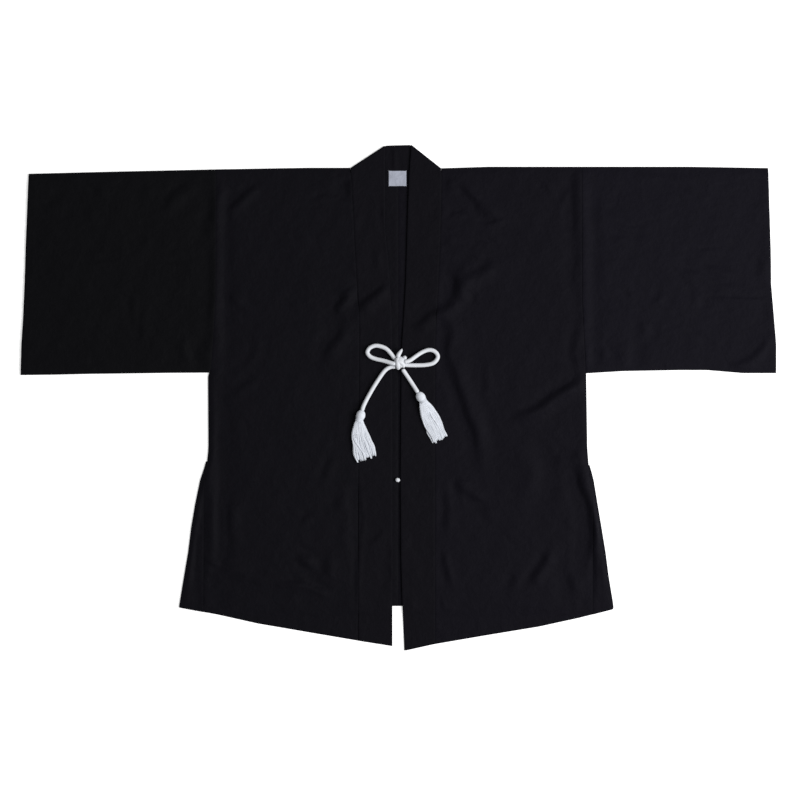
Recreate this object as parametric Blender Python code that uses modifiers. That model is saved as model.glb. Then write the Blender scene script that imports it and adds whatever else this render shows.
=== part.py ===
"""A kimono jacket (haori) laid flat on a table with its front up.

Metres, +Z up. +X is the photo's right, +Y runs from hem to neck, and the origin is on the table
under the middle of the outline. Left and right are those of someone who looks down at the coat.

The coat is cut as its maker cuts it: two body panels that each run from the back hem over the
shoulder to the front hem, two straight sleeves folded along the top, two narrow gussets, and one
collar band from front hem to front hem. A white tie cord with two tassels is knotted over the front.
"""

import math

import bmesh
import bpy
import numpy as np
from mathutils import Matrix, Vector

# Cloth, seams and layers
CLOTH = 0.0012              # wall of the body, sleeves and gussets
BAND = 0.0022               # the collar band is the same cloth doubled
SEAM = 0.0004               # gap that a seam leaves between two pieces
LAYER = 0.00035             # gap between two pieces that lie on each other
BACK_MID = CLOTH / 2        # middle of the back's wall, flat on the table
FRONT_LOW = CLOTH + LAYER + CLOTH / 2
FRONT_AIR = 0.0016          # air that the soft front keeps above the back
BAND_LOW = CLOTH + LAYER + BAND / 2
FLAT_TOP = FRONT_LOW + FRONT_AIR + CLOTH / 2   # upper face of fronts and band where nothing lifts them
PINCH = 0.030               # distance over which the front sinks to a sewn or folded edge
EDGE_AIR = 0.0003           # air that is left at such an edge
LEAST_AIR = 0.0001          # a trough leaves at least this much
CUFF_SLACK = 0.6            # the open cuff sinks by this share of what a sewn edge does
EDGE_PROBE = 0.002          # a layer's height at an edge is read this far inside it

# Main lengths
BACK_HEM = -0.3862          # the back's hem is straight
NECK_SEAM = 0.4206          # where the band is sewn to the back neck
UNDERARM = 0.0455           # where the sleeve's lower edge meets the body
HEM_DROP = 0.020            # length in which the fronts come down off the back's hem
SHOULDER_LEVEL = 0.424      # where the fold over the shoulder meets the sleeve
SLEEVE_SPAN = (0.34, 0.70)  # the sleeve from armhole to cuff, roughly
ARMHOLE_CORNER = 0.010      # the underarm corner counts as sleeve down to this far below it
GUSSET_TIP = {"left": -0.118, "right": -0.125}
SIGN = {"left": -1.0, "right": 1.0}
COLUMN = {"left": 1, "right": 2}

# Edge of the body, a distance from the middle: y, left, right
BODY_EDGE = [
    (0.4240, 0.3380, 0.3398),
    (0.1800, 0.3385, 0.3405),
    (0.0560, 0.3465, 0.3470),
    (0.0400, 0.3520, 0.3474),
    (-0.0940, 0.3512, 0.3494),
    (-0.1310, 0.3550, 0.3524),
    (-0.1740, 0.3602, 0.3570),
    (-0.2040, 0.3606, 0.3602),
    (-0.3990, 0.3611, 0.3602),
]

# Folded edge of the gusset: y, left, right
GUSSET_EDGE = [
    (-0.1080, 0.3545, 0.3510),
    (-0.1310, 0.3602, 0.3565),
    (-0.1530, 0.3676, 0.3621),
    (-0.1980, 0.3769, 0.3695),
    (-0.2420, 0.3843, 0.3769),
    (-0.2870, 0.3899, 0.3843),
    (-0.3310, 0.3974, 0.3899),
    (-0.3760, 0.4048, 0.3974),
    (-0.3990, 0.4085, 0.4005),
]

# Cuff: y, left, right
CUFF = [
    (0.4300, 0.6845, 0.6852),
    (0.3667, 0.6870, 0.6870),
    (0.2739, 0.6907, 0.6900),
    (0.2107, 0.6925, 0.6907),
    (0.1439, 0.6955, 0.6963),
    (0.0993, 0.6984, 0.7000),
    (0.0430, 0.7000, 0.7000),
]

# Fold along the top of shoulder and sleeve: distance from the middle, left y, right y
SHOULDER = [
    (0.0800, 0.4261, 0.4252),
    (0.1670, 0.4261, 0.4280),
    (0.3380, 0.4232, 0.4280),
    (0.5400, 0.4187, 0.4280),
    (0.6852, 0.4150, 0.4256),
]

# Lower edge of the sleeve: distance from the middle, left y, right y
SLEEVE_BOTTOM = [
    (0.3400, 0.0464, 0.0446),
    (0.4160, 0.0460, 0.0492),
    (0.5200, 0.0446, 0.0511),
    (0.5719, 0.0440, 0.0511),
    (0.6387, 0.0425, 0.0455),
    (0.7000, 0.0418, 0.0455),
]

# Front hem: distance from the middle, left y, right y
FRONT_HEM = [
    (0.0111, -0.4605, -0.4686),
    (0.0650, -0.4521, -0.4573),
    (0.1620, -0.4356, -0.4407),
    (0.2610, -0.4186, -0.4244),
    (0.3360, -0.4018, -0.4080),
    (0.4060, -0.3890, -0.3900),
]

# Edges of the collar band, distances from the middle: y, left outer, right outer, left inner, right inner
BAND_EDGES = [
    (0.4670, 0.0891, 0.0798, 0.0249, 0.0241),
    (0.4230, 0.0891, 0.0798, 0.0249, 0.0204),
    (0.4020, 0.0863, 0.0798, 0.0249, 0.0195),
    (0.3500, 0.0838, 0.0793, 0.0249, 0.0174),
    (0.3020, 0.0816, 0.0778, 0.0249, 0.0160),
    (0.2800, 0.0806, 0.0770, 0.0212, 0.0154),
    (0.2015, 0.0760, 0.0737, 0.0149, 0.0130),
    (0.1439, 0.0720, 0.0700, 0.0121, 0.0093),
    (0.0900, 0.0721, 0.0681, 0.0115, 0.0056),
    (-0.1439, 0.0740, 0.0678, 0.0111, 0.0037),
    (-0.3017, 0.0743, 0.0678, 0.0111, 0.0048),
    (-0.3860, 0.0743, 0.0678, 0.0111, 0.0074),
    (-0.4690, 0.0743, 0.0678, 0.0111, 0.0111),
]
BAND_SOFTEN = 0.020         # length over which the corners of that line are rounded
SOFTEN_STEPS = (-1.0, -0.5, 0.0, 0.5, 1.0)
OUTER = {"left": 1, "right": 2}
INNER = {"left": 3, "right": 4}

# The band turns behind the neck along a slanting fold, from its outer to its inner edge
NECK_FOLD = {
    "left": ((-0.0891, 0.4261), (-0.0258, 0.4670)),
    "right": ((0.0798, 0.4252), (0.0242, 0.4686)),
}
NECK_FOLD_RADIUS = 0.0017
FOLD_CLEAR = 0.0007         # the fold's outer end keeps this far from the shoulder
BAND_TILT_FROM = 0.350      # from here up the band leans into that fold
BAND_RISE_FROM = 0.335      # from here up it rises onto the layer that lies behind the neck
BAND_RISE_LENGTH = 0.070

# Band behind the neck, from the left fold to the right: seam edge x, y and free edge x, y
NECK_BAND = [
    (-0.0700, 0.4214, -0.0208, 0.4672),
    (-0.0480, 0.4210, -0.0166, 0.4678),
    (-0.0260, 0.4210, -0.0118, 0.4682),
    (-0.0085, 0.4210, -0.0045, 0.4684),
    (0.0085, 0.4210, 0.0045, 0.4686),
    (0.0250, 0.4210, 0.0115, 0.4686),
    (0.0440, 0.4210, 0.0160, 0.4684),
    (0.0620, 0.4213, 0.0200, 0.4680),
]

# Largest folds of the front: height, half width, and the places that the fold runs through.
# A trough has a negative height.
FOLDS = [
    (0.0028, 0.015, [(-0.325, 0.335), (-0.295, 0.365), (-0.255, 0.396)]),
    (-0.0013, 0.012, [(-0.345, 0.350), (-0.345, 0.270)]),
    (0.0022, 0.014, [(-0.425, 0.345), (-0.398, 0.372), (-0.374, 0.397)]),
    (0.0020, 0.014, [(-0.405, 0.110), (-0.380, 0.078), (-0.362, 0.060)]),
    (0.0018, 0.013, [(-0.350, 0.180), (-0.320, 0.175), (-0.292, 0.177)]),
    (0.0030, 0.013, [(-0.078, 0.154), (-0.052, 0.178), (-0.022, 0.206)]),
    (0.0026, 0.018, [(-0.116, 0.196), (-0.104, 0.170), (-0.100, 0.150)]),
    (-0.0014, 0.016, [(-0.132, 0.160), (-0.130, 0.098)]),
    (0.0030, 0.016, [(-0.338, -0.120), (-0.337, -0.220), (-0.333, -0.300)]),
    (0.0026, 0.014, [(-0.358, -0.302), (-0.300, -0.316), (-0.235, -0.338), (-0.130, -0.352)]),
    (0.0018, 0.014, [(-0.192, -0.288), (-0.160, -0.302), (-0.132, -0.298)]),
    (0.0048, 0.014, [(0.022, 0.139), (0.074, 0.168), (0.110, 0.200), (0.112, 0.228), (0.176, 0.256)]),
    (0.0030, 0.016, [(0.120, 0.392), (0.150, 0.358), (0.186, 0.336)]),
    (0.0022, 0.014, [(0.156, 0.330), (0.200, 0.340)]),
    (-0.0015, 0.016, [(0.086, 0.140), (0.098, 0.080), (0.122, 0.005), (0.145, -0.080), (0.174, -0.150)]),
    (0.0028, 0.018, [(0.112, 0.130), (0.122, 0.060), (0.150, -0.030), (0.172, -0.100)]),
    (0.0026, 0.014, [(0.104, -0.146), (0.130, -0.172), (0.160, -0.186)]),
    (0.0044, 0.013, [(0.338, 0.034), (0.300, 0.012), (0.256, -0.016), (0.200, -0.036)]),
    (-0.0014, 0.014, [(0.323, 0.412), (0.323, 0.270), (0.330, 0.170)]),
    (0.0034, 0.014, [(0.286, -0.092), (0.322, -0.100), (0.338, -0.160), (0.346, -0.230), (0.340, -0.305)]),
    (0.0028, 0.013, [(0.286, -0.272), (0.262, -0.306), (0.238, -0.336)]),
    (0.0020, 0.014, [(0.575, 0.186), (0.630, 0.189), (0.690, 0.183)]),
    (0.0018, 0.013, [(0.522, 0.240), (0.575, 0.232), (0.625, 0.222)]),
    (0.0026, 0.014, [(0.690, 0.128), (0.668, 0.088), (0.636, 0.068), (0.606, 0.062)]),
    (0.0016, 0.015, [(0.356, 0.324), (0.400, 0.330), (0.448, 0.321)]),
    (0.0015, 0.014, [(-0.106, -0.1426), (-0.060, -0.1470), (-0.013, -0.1510)]),
]
FOLD_TAPER = 0.25           # share of a fold's length over which each end fades
FOLD_END = 0.25             # share of its height that is left at its ends
BAND_STIFFNESS = 0.75       # the doubled band takes this share of a fold's height

# A faint swell all over: height, then each wave's turns along x and y and its shift
SWELL = 0.0003
SWELL_WAVES = ((23.0, 9.0, 0.0), (-5.0, 14.0, 1.3))

# Round the bow the cloth lies smooth: middle and half lengths of that oval, and its soft rim
CALM_MIDDLE = (0.004, -0.005)
CALM_HALF = (0.098, 0.128)
CALM_RIM = 0.35

# Mesh sizes
CELL = 0.024                # front of the body and of the sleeves
BACK_CELL = 0.075           # back, which lies flat
GUSSET_CELL = 0.032
FRONT_COLUMNS = 11          # cells across one front, from the band to the side
NECK_COLUMNS = 3            # cells across the back between its middle and the shoulder fold
SLEEVE_COLUMNS = 15
SLEEVE_ROWS = 16
SLEEVE_BACK_ROWS = (0.2, 0.5, 0.8)  # rows of the sleeve's back, shares of its depth
GUSSET_COLUMNS = 2          # cells across the gusset's front layer
ARC_STEPS = 4               # straight steps round a folded edge
BAND_STEPS = 3              # across the band
HEM_STEPS = 4               # from the level of the back's hem to the front hem
FRONT_LEVELS = [0.404, 0.180, 0.056, 0.040, -0.094, -0.131, -0.174, -0.204, BACK_HEM]
BACK_LEVELS = [BACK_HEM, -0.204, -0.174, -0.131, -0.094, 0.040, 0.056, 0.180, NECK_SEAM]
GUSSET_LEVELS = [-0.131, -0.174, -0.204, BACK_HEM]
GUSSET_HEM_LEAST = 0.25     # share of the front hem's reach that the gusset's back layer has
BAND_LAST_STEP = 0.008      # from the band's last level row to its slanting fold

# Label
LABEL_WIDTH = 0.0325
LABEL_HEIGHT = 0.0280
LABEL_THICK = 0.0005
LABEL_MIDDLE = (-0.0014, 0.4063)

# Tie cord: a round braid
CORD = 0.0076
CORD_STEP = 1.45            # diameters between two points of a tube
CURVE_STEPS = 24            # steps between two chosen points, before they are spaced evenly
WELD = 0.00001
SOCKET_GAP = 0.0003         # space round a cord's end in the knot or in a tassel's head

# Routes of the cord, chosen by hand: from the knot round each loop and back, and down each tail
ROUTES = {
    "tie_loop_left": [
        (-0.0052, 0.0702, 0.0104), (-0.0117, 0.0789, 0.0100), (-0.0205, 0.0890, 0.0094),
        (-0.0303, 0.0943, 0.0090), (-0.0427, 0.0962, 0.0088), (-0.0530, 0.0918, 0.0088),
        (-0.0572, 0.0836, 0.0088), (-0.0520, 0.0760, 0.0088), (-0.0412, 0.0716, 0.0092),
        (-0.0273, 0.0684, 0.0116), (-0.0134, 0.0642, 0.0154), (-0.0050, 0.0622, 0.0166),
    ],
    "tie_loop_right": [
        (0.0104, 0.0656, 0.0167), (0.0208, 0.0686, 0.0150), (0.0290, 0.0742, 0.0128),
        (0.0377, 0.0804, 0.0104), (0.0470, 0.0856, 0.0090), (0.0563, 0.0884, 0.0088),
        (0.0655, 0.0866, 0.0088), (0.0722, 0.0800, 0.0088), (0.0722, 0.0722, 0.0088),
        (0.0645, 0.0640, 0.0088), (0.0500, 0.0606, 0.0088), (0.0350, 0.0600, 0.0088),
        (0.0208, 0.0602, 0.0090), (0.0108, 0.0608, 0.0094),
    ],
    "tie_tail_left": [
        (-0.0046, 0.0566, 0.0090), (-0.0117, 0.0572, 0.0088), (-0.0190, 0.0546, 0.0088),
        (-0.0262, 0.0486, 0.0088), (-0.0350, 0.0365, 0.0088), (-0.0440, 0.0225, 0.0088),
        (-0.0520, 0.0088, 0.0088), (-0.0590, -0.0040, 0.0091), (-0.0645, -0.0158, 0.0108),
        (-0.0672, -0.0248, 0.0118),
    ],
    "tie_tail_right": [
        (0.0076, 0.0532, 0.0090), (0.0125, 0.0458, 0.0088), (0.0190, 0.0362, 0.0088),
        (0.0262, 0.0253, 0.0091), (0.0325, 0.0155, 0.0106), (0.0366, 0.0088, 0.0117),
    ],
}

# Knot: fat turns of the cord round a core. Each row: radius, and the places that it runs through
KNOT_MIDDLE = (0.0030, 0.0655, 0.0122)
KNOT_CORE = (0.0112, 0.0104, 0.0073)
KNOT_SEGMENTS, KNOT_RINGS = 14, 8
KNOT_STEP = 0.0035          # between two points of a turn
KNOT_DIVE = 0.7             # a turn's ends are this much thinner, where they dive under another
KNOT_TURNS = [
    (0.0043, [(-0.0010, 0.0735, 0.0120), (-0.0016, 0.0690, 0.0166), (-0.0010, 0.0630, 0.0172),
              (-0.0004, 0.0575, 0.0136), (-0.0002, 0.0548, 0.0100)]),
    (0.0042, [(-0.0062, 0.0650, 0.0146), (0.0010, 0.0668, 0.0176), (0.0070, 0.0634, 0.0162),
              (0.0092, 0.0590, 0.0122), (0.0078, 0.0562, 0.0098)]),
    (0.0048, [(0.0090, 0.0700, 0.0124), (0.0112, 0.0738, 0.0126), (0.0086, 0.0762, 0.0124)]),
]
KNOT_TIP = [
    (0.0042, (-0.0006, 0.0740, 0.0140)), (0.0040, (0.0004, 0.0790, 0.0135)),
    (0.0034, (0.0030, 0.0835, 0.0120)), (0.0024, (0.0056, 0.0875, 0.0105)),
    (0.0008, (0.0070, 0.0908, 0.0098)),
]
KNOT_STUB = [
    (0.0040, (0.0000, 0.0580, 0.0100)), (0.0043, (-0.0002, 0.0545, 0.0094)),
    (0.0030, (-0.0004, 0.0515, 0.0092)),
]

# Tassels: head, then the skirt's middle line and half width at shares of its length
HEAD = (0.0085, 0.0108, 0.0072)     # half width, half length and half height of a head
HEAD_SEGMENTS, HEAD_RINGS = 14, 9
HEAD_LEVEL = FLAT_TOP + LAYER + HEAD[2]
TASSELS = {
    "left": {
        "head": (-0.0698, -0.0332),
        "lean": (0.285, 0.958),
        "skirt": [
            (0.00, -0.0714, -0.0385, 0.0052), (0.25, -0.0722, -0.0520, 0.0105),
            (0.50, -0.0700, -0.0710, 0.0165), (0.75, -0.0645, -0.0930, 0.0188),
            (1.00, -0.0580, -0.1150, 0.0196),
        ],
    },
    "right": {
        "head": (0.0416, 0.0009),
        "lean": (-0.540, 0.842),
        "skirt": [
            (0.00, 0.0440, -0.0038, 0.0052), (0.25, 0.0500, -0.0170, 0.0108),
            (0.50, 0.0585, -0.0360, 0.0148), (0.75, 0.0690, -0.0580, 0.0155),
            (1.00, 0.0792, -0.0800, 0.0146),
        ],
    },
}
STRAND_LAYERS = 3
STRANDS_ACROSS = 12
STRAND_STEPS = 5
STRAND_ROOT = 0.00034       # half thickness inside the head
STRAND_HALF = 0.00085       # half thickness of a hanging thread
STRAND_RISE = 0.0021        # from one layer of threads to the next
ROOT_RISE = 0.0026          # the same inside the head
STRAND_SETTLE = 0.45        # share of the skirt's length in which the layers come down on each other
STRAND_FILL = 0.30          # share in which a thread reaches its full thickness
STRAND_SECTION = ((0.0, 1.15), (-1.0, -0.75), (1.0, -0.75))
STRAND_LENGTH = 0.955       # usual length, as a share of the skirt's
STRAND_UNEVEN = 0.045       # how far a thread's length differs from that
UNEVEN_ACROSS, UNEVEN_LAYER = 2.3, 1.7
SKIRT_ROUND = 0.05          # the outer threads end this much earlier
SKIRT_REACH = 0.08          # share of the skirt's length over which its direction is read

# Short white cord end in the front opening
END_MIDDLE = (-0.0012, -0.1523)
END_LENGTH = 0.0088
END_RADIUS = 0.0038
END_TURN = math.radians(-14)
END_PROFILE = [(-0.5, 0.62), (-0.38, 0.90), (-0.2, 1.0), (0.2, 1.0), (0.38, 0.90), (0.5, 0.62)]

COAT = "kimono jacket"


def new_collection(name):
    made = bpy.data.collections.new(name)
    bpy.context.scene.collection.children.link(made)
    return made


def material(name, colour, roughness):
    made = bpy.data.materials.new(name)
    made.use_nodes = True
    shader = made.node_tree.nodes["Principled BSDF"]
    shader.inputs["Base Color"].default_value = (*colour, 1.0)
    shader.inputs["Roughness"].default_value = roughness
    shader.inputs["Metallic"].default_value = 0.0
    return made


def between(table, column, at, soften=0.0):
    """Read a column of a table at any place between its rows, its corners rounded over soften."""
    rows = np.array(sorted(table))
    nearby = [np.interp(at + step * soften, rows[:, 0], rows[:, column]) for step in SOFTEN_STEPS]
    return sum(nearby) / len(nearby)


def band_edge(side, which, y):
    """Distance of the band's outer or inner edge from the middle."""
    return between(BAND_EDGES, which[side], y, BAND_SOFTEN)


def ease(share):
    """Smooth step from 0 to 1."""
    held = np.clip(share, 0.0, 1.0)
    return held * held * (3.0 - 2.0 * held)


def stops(keys, cell):
    """The key values with even steps of at most one cell between them."""
    out = [keys[0]]
    for start, end in zip(keys[:-1], keys[1:]):
        count = max(1, math.ceil(abs(end - start) / cell))
        out.extend(start + (end - start) * step / count for step in range(1, count + 1))
    return np.array(out)


def along_fold(route, x, y):
    """Distance of each place from a fold's route, and its share of the route's length."""
    corners = np.array(route)
    pieces = np.linalg.norm(np.diff(corners, axis=0), axis=1)
    total = pieces.sum()
    nearest = np.full(x.shape, np.inf)
    share = np.zeros(x.shape)
    walked = 0.0
    for (start, end), length in zip(zip(corners[:-1], corners[1:]), pieces):
        step = (end - start) / length
        reach = np.clip((x - start[0]) * step[0] + (y - start[1]) * step[1], 0.0, length)
        away = np.hypot(x - start[0] - reach * step[0], y - start[1] - reach * step[1])
        closer = away < nearest
        nearest = np.where(closer, away, nearest)
        share = np.where(closer, (walked + reach) / total, share)
        walked += length
    return nearest, share


def fold_height(x, y):
    """Sum of the soft folds: each one a bell across its route that fades at both ends."""
    lift = np.zeros(x.shape)
    for height, width, route in FOLDS:
        away, share = along_fold(route, x, y)
        fade = ease(share / FOLD_TAPER) * ease((1.0 - share) / FOLD_TAPER)
        lift += height * (FOLD_END + (1.0 - FOLD_END) * fade) * np.exp(-(away / width) ** 2)
    waves = [np.sin(along_x * x + along_y * y + shift) for along_x, along_y, shift in SWELL_WAVES]
    lift += SWELL * waves[0] * waves[1]
    off = np.hypot((x - CALM_MIDDLE[0]) / CALM_HALF[0], (y - CALM_MIDDLE[1]) / CALM_HALF[1])
    return lift * ease((off - 1.0) / CALM_RIM)


def edge_distance(x, y):
    """Distance from each place to the nearest sewn or folded edge of the outline."""
    out = np.abs(x)
    result = np.full(x.shape, np.inf)
    for side in SIGN:
        column = COLUMN[side]
        here = (x < 0) if side == "left" else (x >= 0)
        body = between(BODY_EDGE, column, y)
        lower_edge = np.where(y < GUSSET_TIP[side], between(GUSSET_EDGE, column, y), body)
        shoulder = between(SHOULDER, column, out) - y
        corner = np.hypot(out - between(BODY_EDGE, column, UNDERARM), y - UNDERARM)
        in_body = np.where(y < UNDERARM, lower_edge - out, np.minimum(corner, shoulder))
        in_sleeve = np.minimum(shoulder, y - between(SLEEVE_BOTTOM, column, out))
        in_sleeve = np.minimum(in_sleeve, CUFF_SLACK * PINCH + between(CUFF, column, y) - out)
        is_sleeve = (out > body) & (y > UNDERARM - ARMHOLE_CORNER)
        result = np.where(here, np.where(is_sleeve, in_sleeve, in_body), result)
    return np.maximum(result, 0.0)


def front_middle(x, y):
    """Height of the middle of the front's wall."""
    soft = ease(edge_distance(x, y) / PINCH)
    air = EDGE_AIR + (FRONT_AIR - EDGE_AIR) * soft
    high = FRONT_LOW + np.maximum(air + fold_height(x, y) * soft, LEAST_AIR)
    fallen = ease((BACK_HEM - LAYER - CLOTH - y) / HEM_DROP)
    return high + (BACK_MID - high) * fallen


def band_middle(x, y):
    """Height of the middle of the collar band's wall on the front."""
    air = FLAT_TOP - BAND / 2 - BAND_LOW
    high = BAND_LOW + np.maximum(air + BAND_STIFFNESS * fold_height(x, y), 0.0)
    turn = BAND / 2 + 2 * NECK_FOLD_RADIUS
    high = high + (turn - high) * ease((y - BAND_RISE_FROM) / BAND_RISE_LENGTH)
    fallen = ease((BACK_HEM - LAYER - CLOTH - y) / HEM_DROP)
    return high + (BAND / 2 - high) * fallen


def shell(name, grid, wall, look, ring=False, keep=None):
    """A sheet of cloth through a grid of places [row, column], thickened to its wall."""
    rows, columns = grid.shape[:2]
    index = np.arange(rows * columns).reshape(rows, columns)
    faces = []
    for row in range(rows - 1):
        for column in range(columns if ring else columns - 1):
            beside = (column + 1) % columns
            if keep is None or keep[row, column]:
                faces.append((index[row, column], index[row, beside],
                              index[row + 1, beside], index[row + 1, column]))
    used = np.unique(np.array(faces))
    renamed = {old: new for new, old in enumerate(used.tolist())}
    mesh = bpy.data.meshes.new(name)
    mesh.from_pydata(grid.reshape(-1, 3)[used].tolist(), [],
                     [[renamed[int(corner)] for corner in face] for face in faces])
    mesh.materials.append(look)
    mesh.shade_smooth()
    made = bpy.data.objects.new(name, mesh)
    bpy.data.collections[COAT].objects.link(made)
    wall_maker = made.modifiers.new("Wall", "SOLIDIFY")
    wall_maker.thickness = wall
    wall_maker.offset = 0.0
    wall_maker.use_even_offset = True
    wall_maker.use_quality_normals = True
    return made


def turned_edge(place, low, high, outward):
    """Half circle from a lower to an upper layer, bulging along outward: [step, place, xyz].

    outward is one direction for all places or a row for each.
    """
    angles = np.linspace(-math.pi / 2, math.pi / 2, ARC_STEPS + 1)
    radius = (high - low) / 2
    middle = (high + low) / 2
    outward = np.broadcast_to(outward, (len(radius), 2))
    grid = np.zeros((ARC_STEPS + 1, len(radius), 3))
    for step, angle in enumerate(angles):
        grid[step, :, 0] = place[:, 0] + outward[:, 0] * radius * math.cos(angle)
        grid[step, :, 1] = place[:, 1] + outward[:, 1] * radius * math.cos(angle)
        grid[step, :, 2] = middle + radius * math.sin(angle)
    return grid


def body_panel(side, look):
    """One width of cloth from the back hem over the shoulder to the front hem."""
    sign, column = SIGN[side], COLUMN[side]
    neck_x = abs(NECK_FOLD[side][0][0]) + SEAM
    share = np.linspace(0.0, 1.0, FRONT_COLUMNS + 1)
    centre = np.linspace(SEAM / 2, neck_x, NECK_COLUMNS + 1)[:-1]

    # Back, flat on the table, with columns as far as the centre back seam
    back_y = stops(BACK_LEVELS, BACK_CELL)
    back = np.zeros((len(back_y), NECK_COLUMNS + len(share), 3))
    for row, y in enumerate(back_y):
        back[row, :NECK_COLUMNS, 0] = sign * centre
        back[row, NECK_COLUMNS:, 0] = sign * (neck_x + (between(BODY_EDGE, column, y) - neck_x) * share)
        back[row, :, 1] = y
    back[:, :, 2] = BACK_MID

    # Fold over the shoulder
    out = neck_x + (between(BODY_EDGE, column, SHOULDER_LEVEL) - neck_x) * share
    edge = between(SHOULDER, column, out)
    high = front_middle(sign * out, edge - EDGE_PROBE)
    turn_y = edge - CLOTH / 2 - (high - BACK_MID) / 2
    high = front_middle(sign * out, turn_y)
    turn_y = edge - CLOTH / 2 - (high - BACK_MID) / 2
    shoulder = turned_edge(np.stack([sign * out, turn_y], axis=1), BACK_MID, high, (0.0, 1.0))

    # Front: level rows as far as the back hem, then slanting ones to the front hem
    front = []
    for y in stops(FRONT_LEVELS, CELL):
        inner = band_edge(side, OUTER, y) + SEAM
        x = inner + (between(BODY_EDGE, column, y) - inner) * share
        front.append(np.stack([sign * x, np.full(x.shape, y)], axis=1))
    for step in range(1, HEM_STEPS + 1):
        inner = band_edge(side, OUTER, BACK_HEM) + SEAM
        x = inner + (between(BODY_EDGE, column, BACK_HEM) - inner) * share
        y = BACK_HEM + (between(FRONT_HEM, column, x) - BACK_HEM) * step / HEM_STEPS
        front.append(np.stack([sign * x, y], axis=1))
    front = np.array(front)
    front_z = front_middle(front[:, :, 0], front[:, :, 1])
    front = np.concatenate([front, front_z[:, :, None]], axis=2)

    rows = len(back_y) + len(shoulder) + len(front)
    grid = np.zeros((rows, NECK_COLUMNS + len(share), 3))
    grid[:len(back_y)] = back
    grid[len(back_y):len(back_y) + len(shoulder), NECK_COLUMNS:] = shoulder
    grid[len(back_y) + len(shoulder):, NECK_COLUMNS:] = front
    keep = np.ones((rows - 1, grid.shape[1] - 1), dtype=bool)
    keep[len(back_y) - 1:, :NECK_COLUMNS] = False
    return shell(f"body_{side}", grid, CLOTH, look, keep=keep)


def sleeve(side, look):
    """A straight width of cloth folded along the top and closed along the bottom."""
    sign, column = SIGN[side], COLUMN[side]
    share = np.linspace(0.0, 1.0, SLEEVE_COLUMNS + 1)

    def outline(y_of):
        """X, then y, along an upper or lower edge of the sleeve."""
        x = np.linspace(*SLEEVE_SPAN, len(share))
        for _ in range(3):
            y = y_of(x)
            inner = between(BODY_EDGE, column, y) + SEAM
            x = inner + (between(CUFF, column, y) - inner) * share
        return x, y_of(x)

    top_x, top_y = outline(lambda x: between(SHOULDER, column, x))
    low_x, low_y = outline(lambda x: between(SLEEVE_BOTTOM, column, x))
    top_high = front_middle(sign * top_x, top_y - EDGE_PROBE)
    low_high = front_middle(sign * low_x, low_y + EDGE_PROBE)
    top_y = top_y - CLOTH / 2 - (top_high - BACK_MID) / 2
    low_y = low_y + CLOTH / 2 + (low_high - BACK_MID) / 2
    over = turned_edge(np.stack([sign * top_x, top_y], axis=1), BACK_MID, top_high, (0.0, 1.0))
    under = turned_edge(np.stack([sign * low_x, low_y], axis=1), BACK_MID, low_high, (0.0, -1.0))

    down = np.linspace(0.0, 1.0, SLEEVE_ROWS + 1)[1:-1]
    front = np.zeros((len(down), len(share), 3))
    for row, part in enumerate(down):
        y = top_y + (low_y - top_y) * part
        inner = between(BODY_EDGE, column, y) + SEAM
        x = inner + (between(CUFF, column, y) - inner) * share
        front[row, :, 0] = sign * x
        front[row, :, 1] = y
        front[row, :, 2] = front_middle(sign * x, y)
    back = np.zeros((len(SLEEVE_BACK_ROWS), len(share), 3))
    for row, part in enumerate(SLEEVE_BACK_ROWS):
        y = low_y + (top_y - low_y) * part
        inner = between(BODY_EDGE, column, y) + SEAM
        back[row, :, 0] = sign * (inner + (between(CUFF, column, y) - inner) * share)
        back[row, :, 1] = y
        back[row, :, 2] = BACK_MID
    round_the_arm = np.concatenate([over, front, under[::-1], back])
    return shell(f"sleeve_{side}", round_the_arm.transpose(1, 0, 2), CLOTH, look, ring=True)


def gusset(side, look):
    """A long triangle folded down its middle, sewn to the back and to the front."""
    sign, column = SIGN[side], COLUMN[side]
    level = stops([GUSSET_TIP[side], *GUSSET_LEVELS], GUSSET_CELL)
    grid = np.zeros((len(level) + 1, 1 + ARC_STEPS + 1 + GUSSET_COLUMNS, 3))
    for row in range(len(level) + 1):
        y = level[min(row, len(level) - 1)]
        seam = between(BODY_EDGE, column, y) + SEAM
        edge = between(GUSSET_EDGE, column, y)
        high = float(front_middle(np.array([sign * (edge - EDGE_PROBE)]), np.array([y]))[0])
        turn = edge - CLOTH / 2 - (high - BACK_MID) / 2
        grid[row, 0] = (sign * seam, y, BACK_MID)
        arc = turned_edge(np.array([[sign * turn, y]]), BACK_MID, np.array([high]), (sign, 0.0))
        grid[row, 1:ARC_STEPS + 2] = arc[:, 0]
        for step in range(1, GUSSET_COLUMNS + 1):
            x = turn + (seam - turn) * step / GUSSET_COLUMNS
            z = float(front_middle(np.array([sign * x]), np.array([y]))[0])
            grid[row, ARC_STEPS + 1 + step] = (sign * x, y, z)
        if row == len(level):
            # Hem: the back layer ends on the back's hem, the front layer on the front's
            reach = between(FRONT_HEM, column, np.abs(grid[row, :, 0])) - BACK_HEM
            high_share = (grid[row, :, 2] - BACK_MID) / (grid[row, :, 2].max() - BACK_MID)
            grid[row, :, 1] = BACK_HEM + reach * np.clip(high_share, GUSSET_HEM_LEAST, 1.0)
    return shell(f"gusset_{side}", grid, CLOTH, look)


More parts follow.
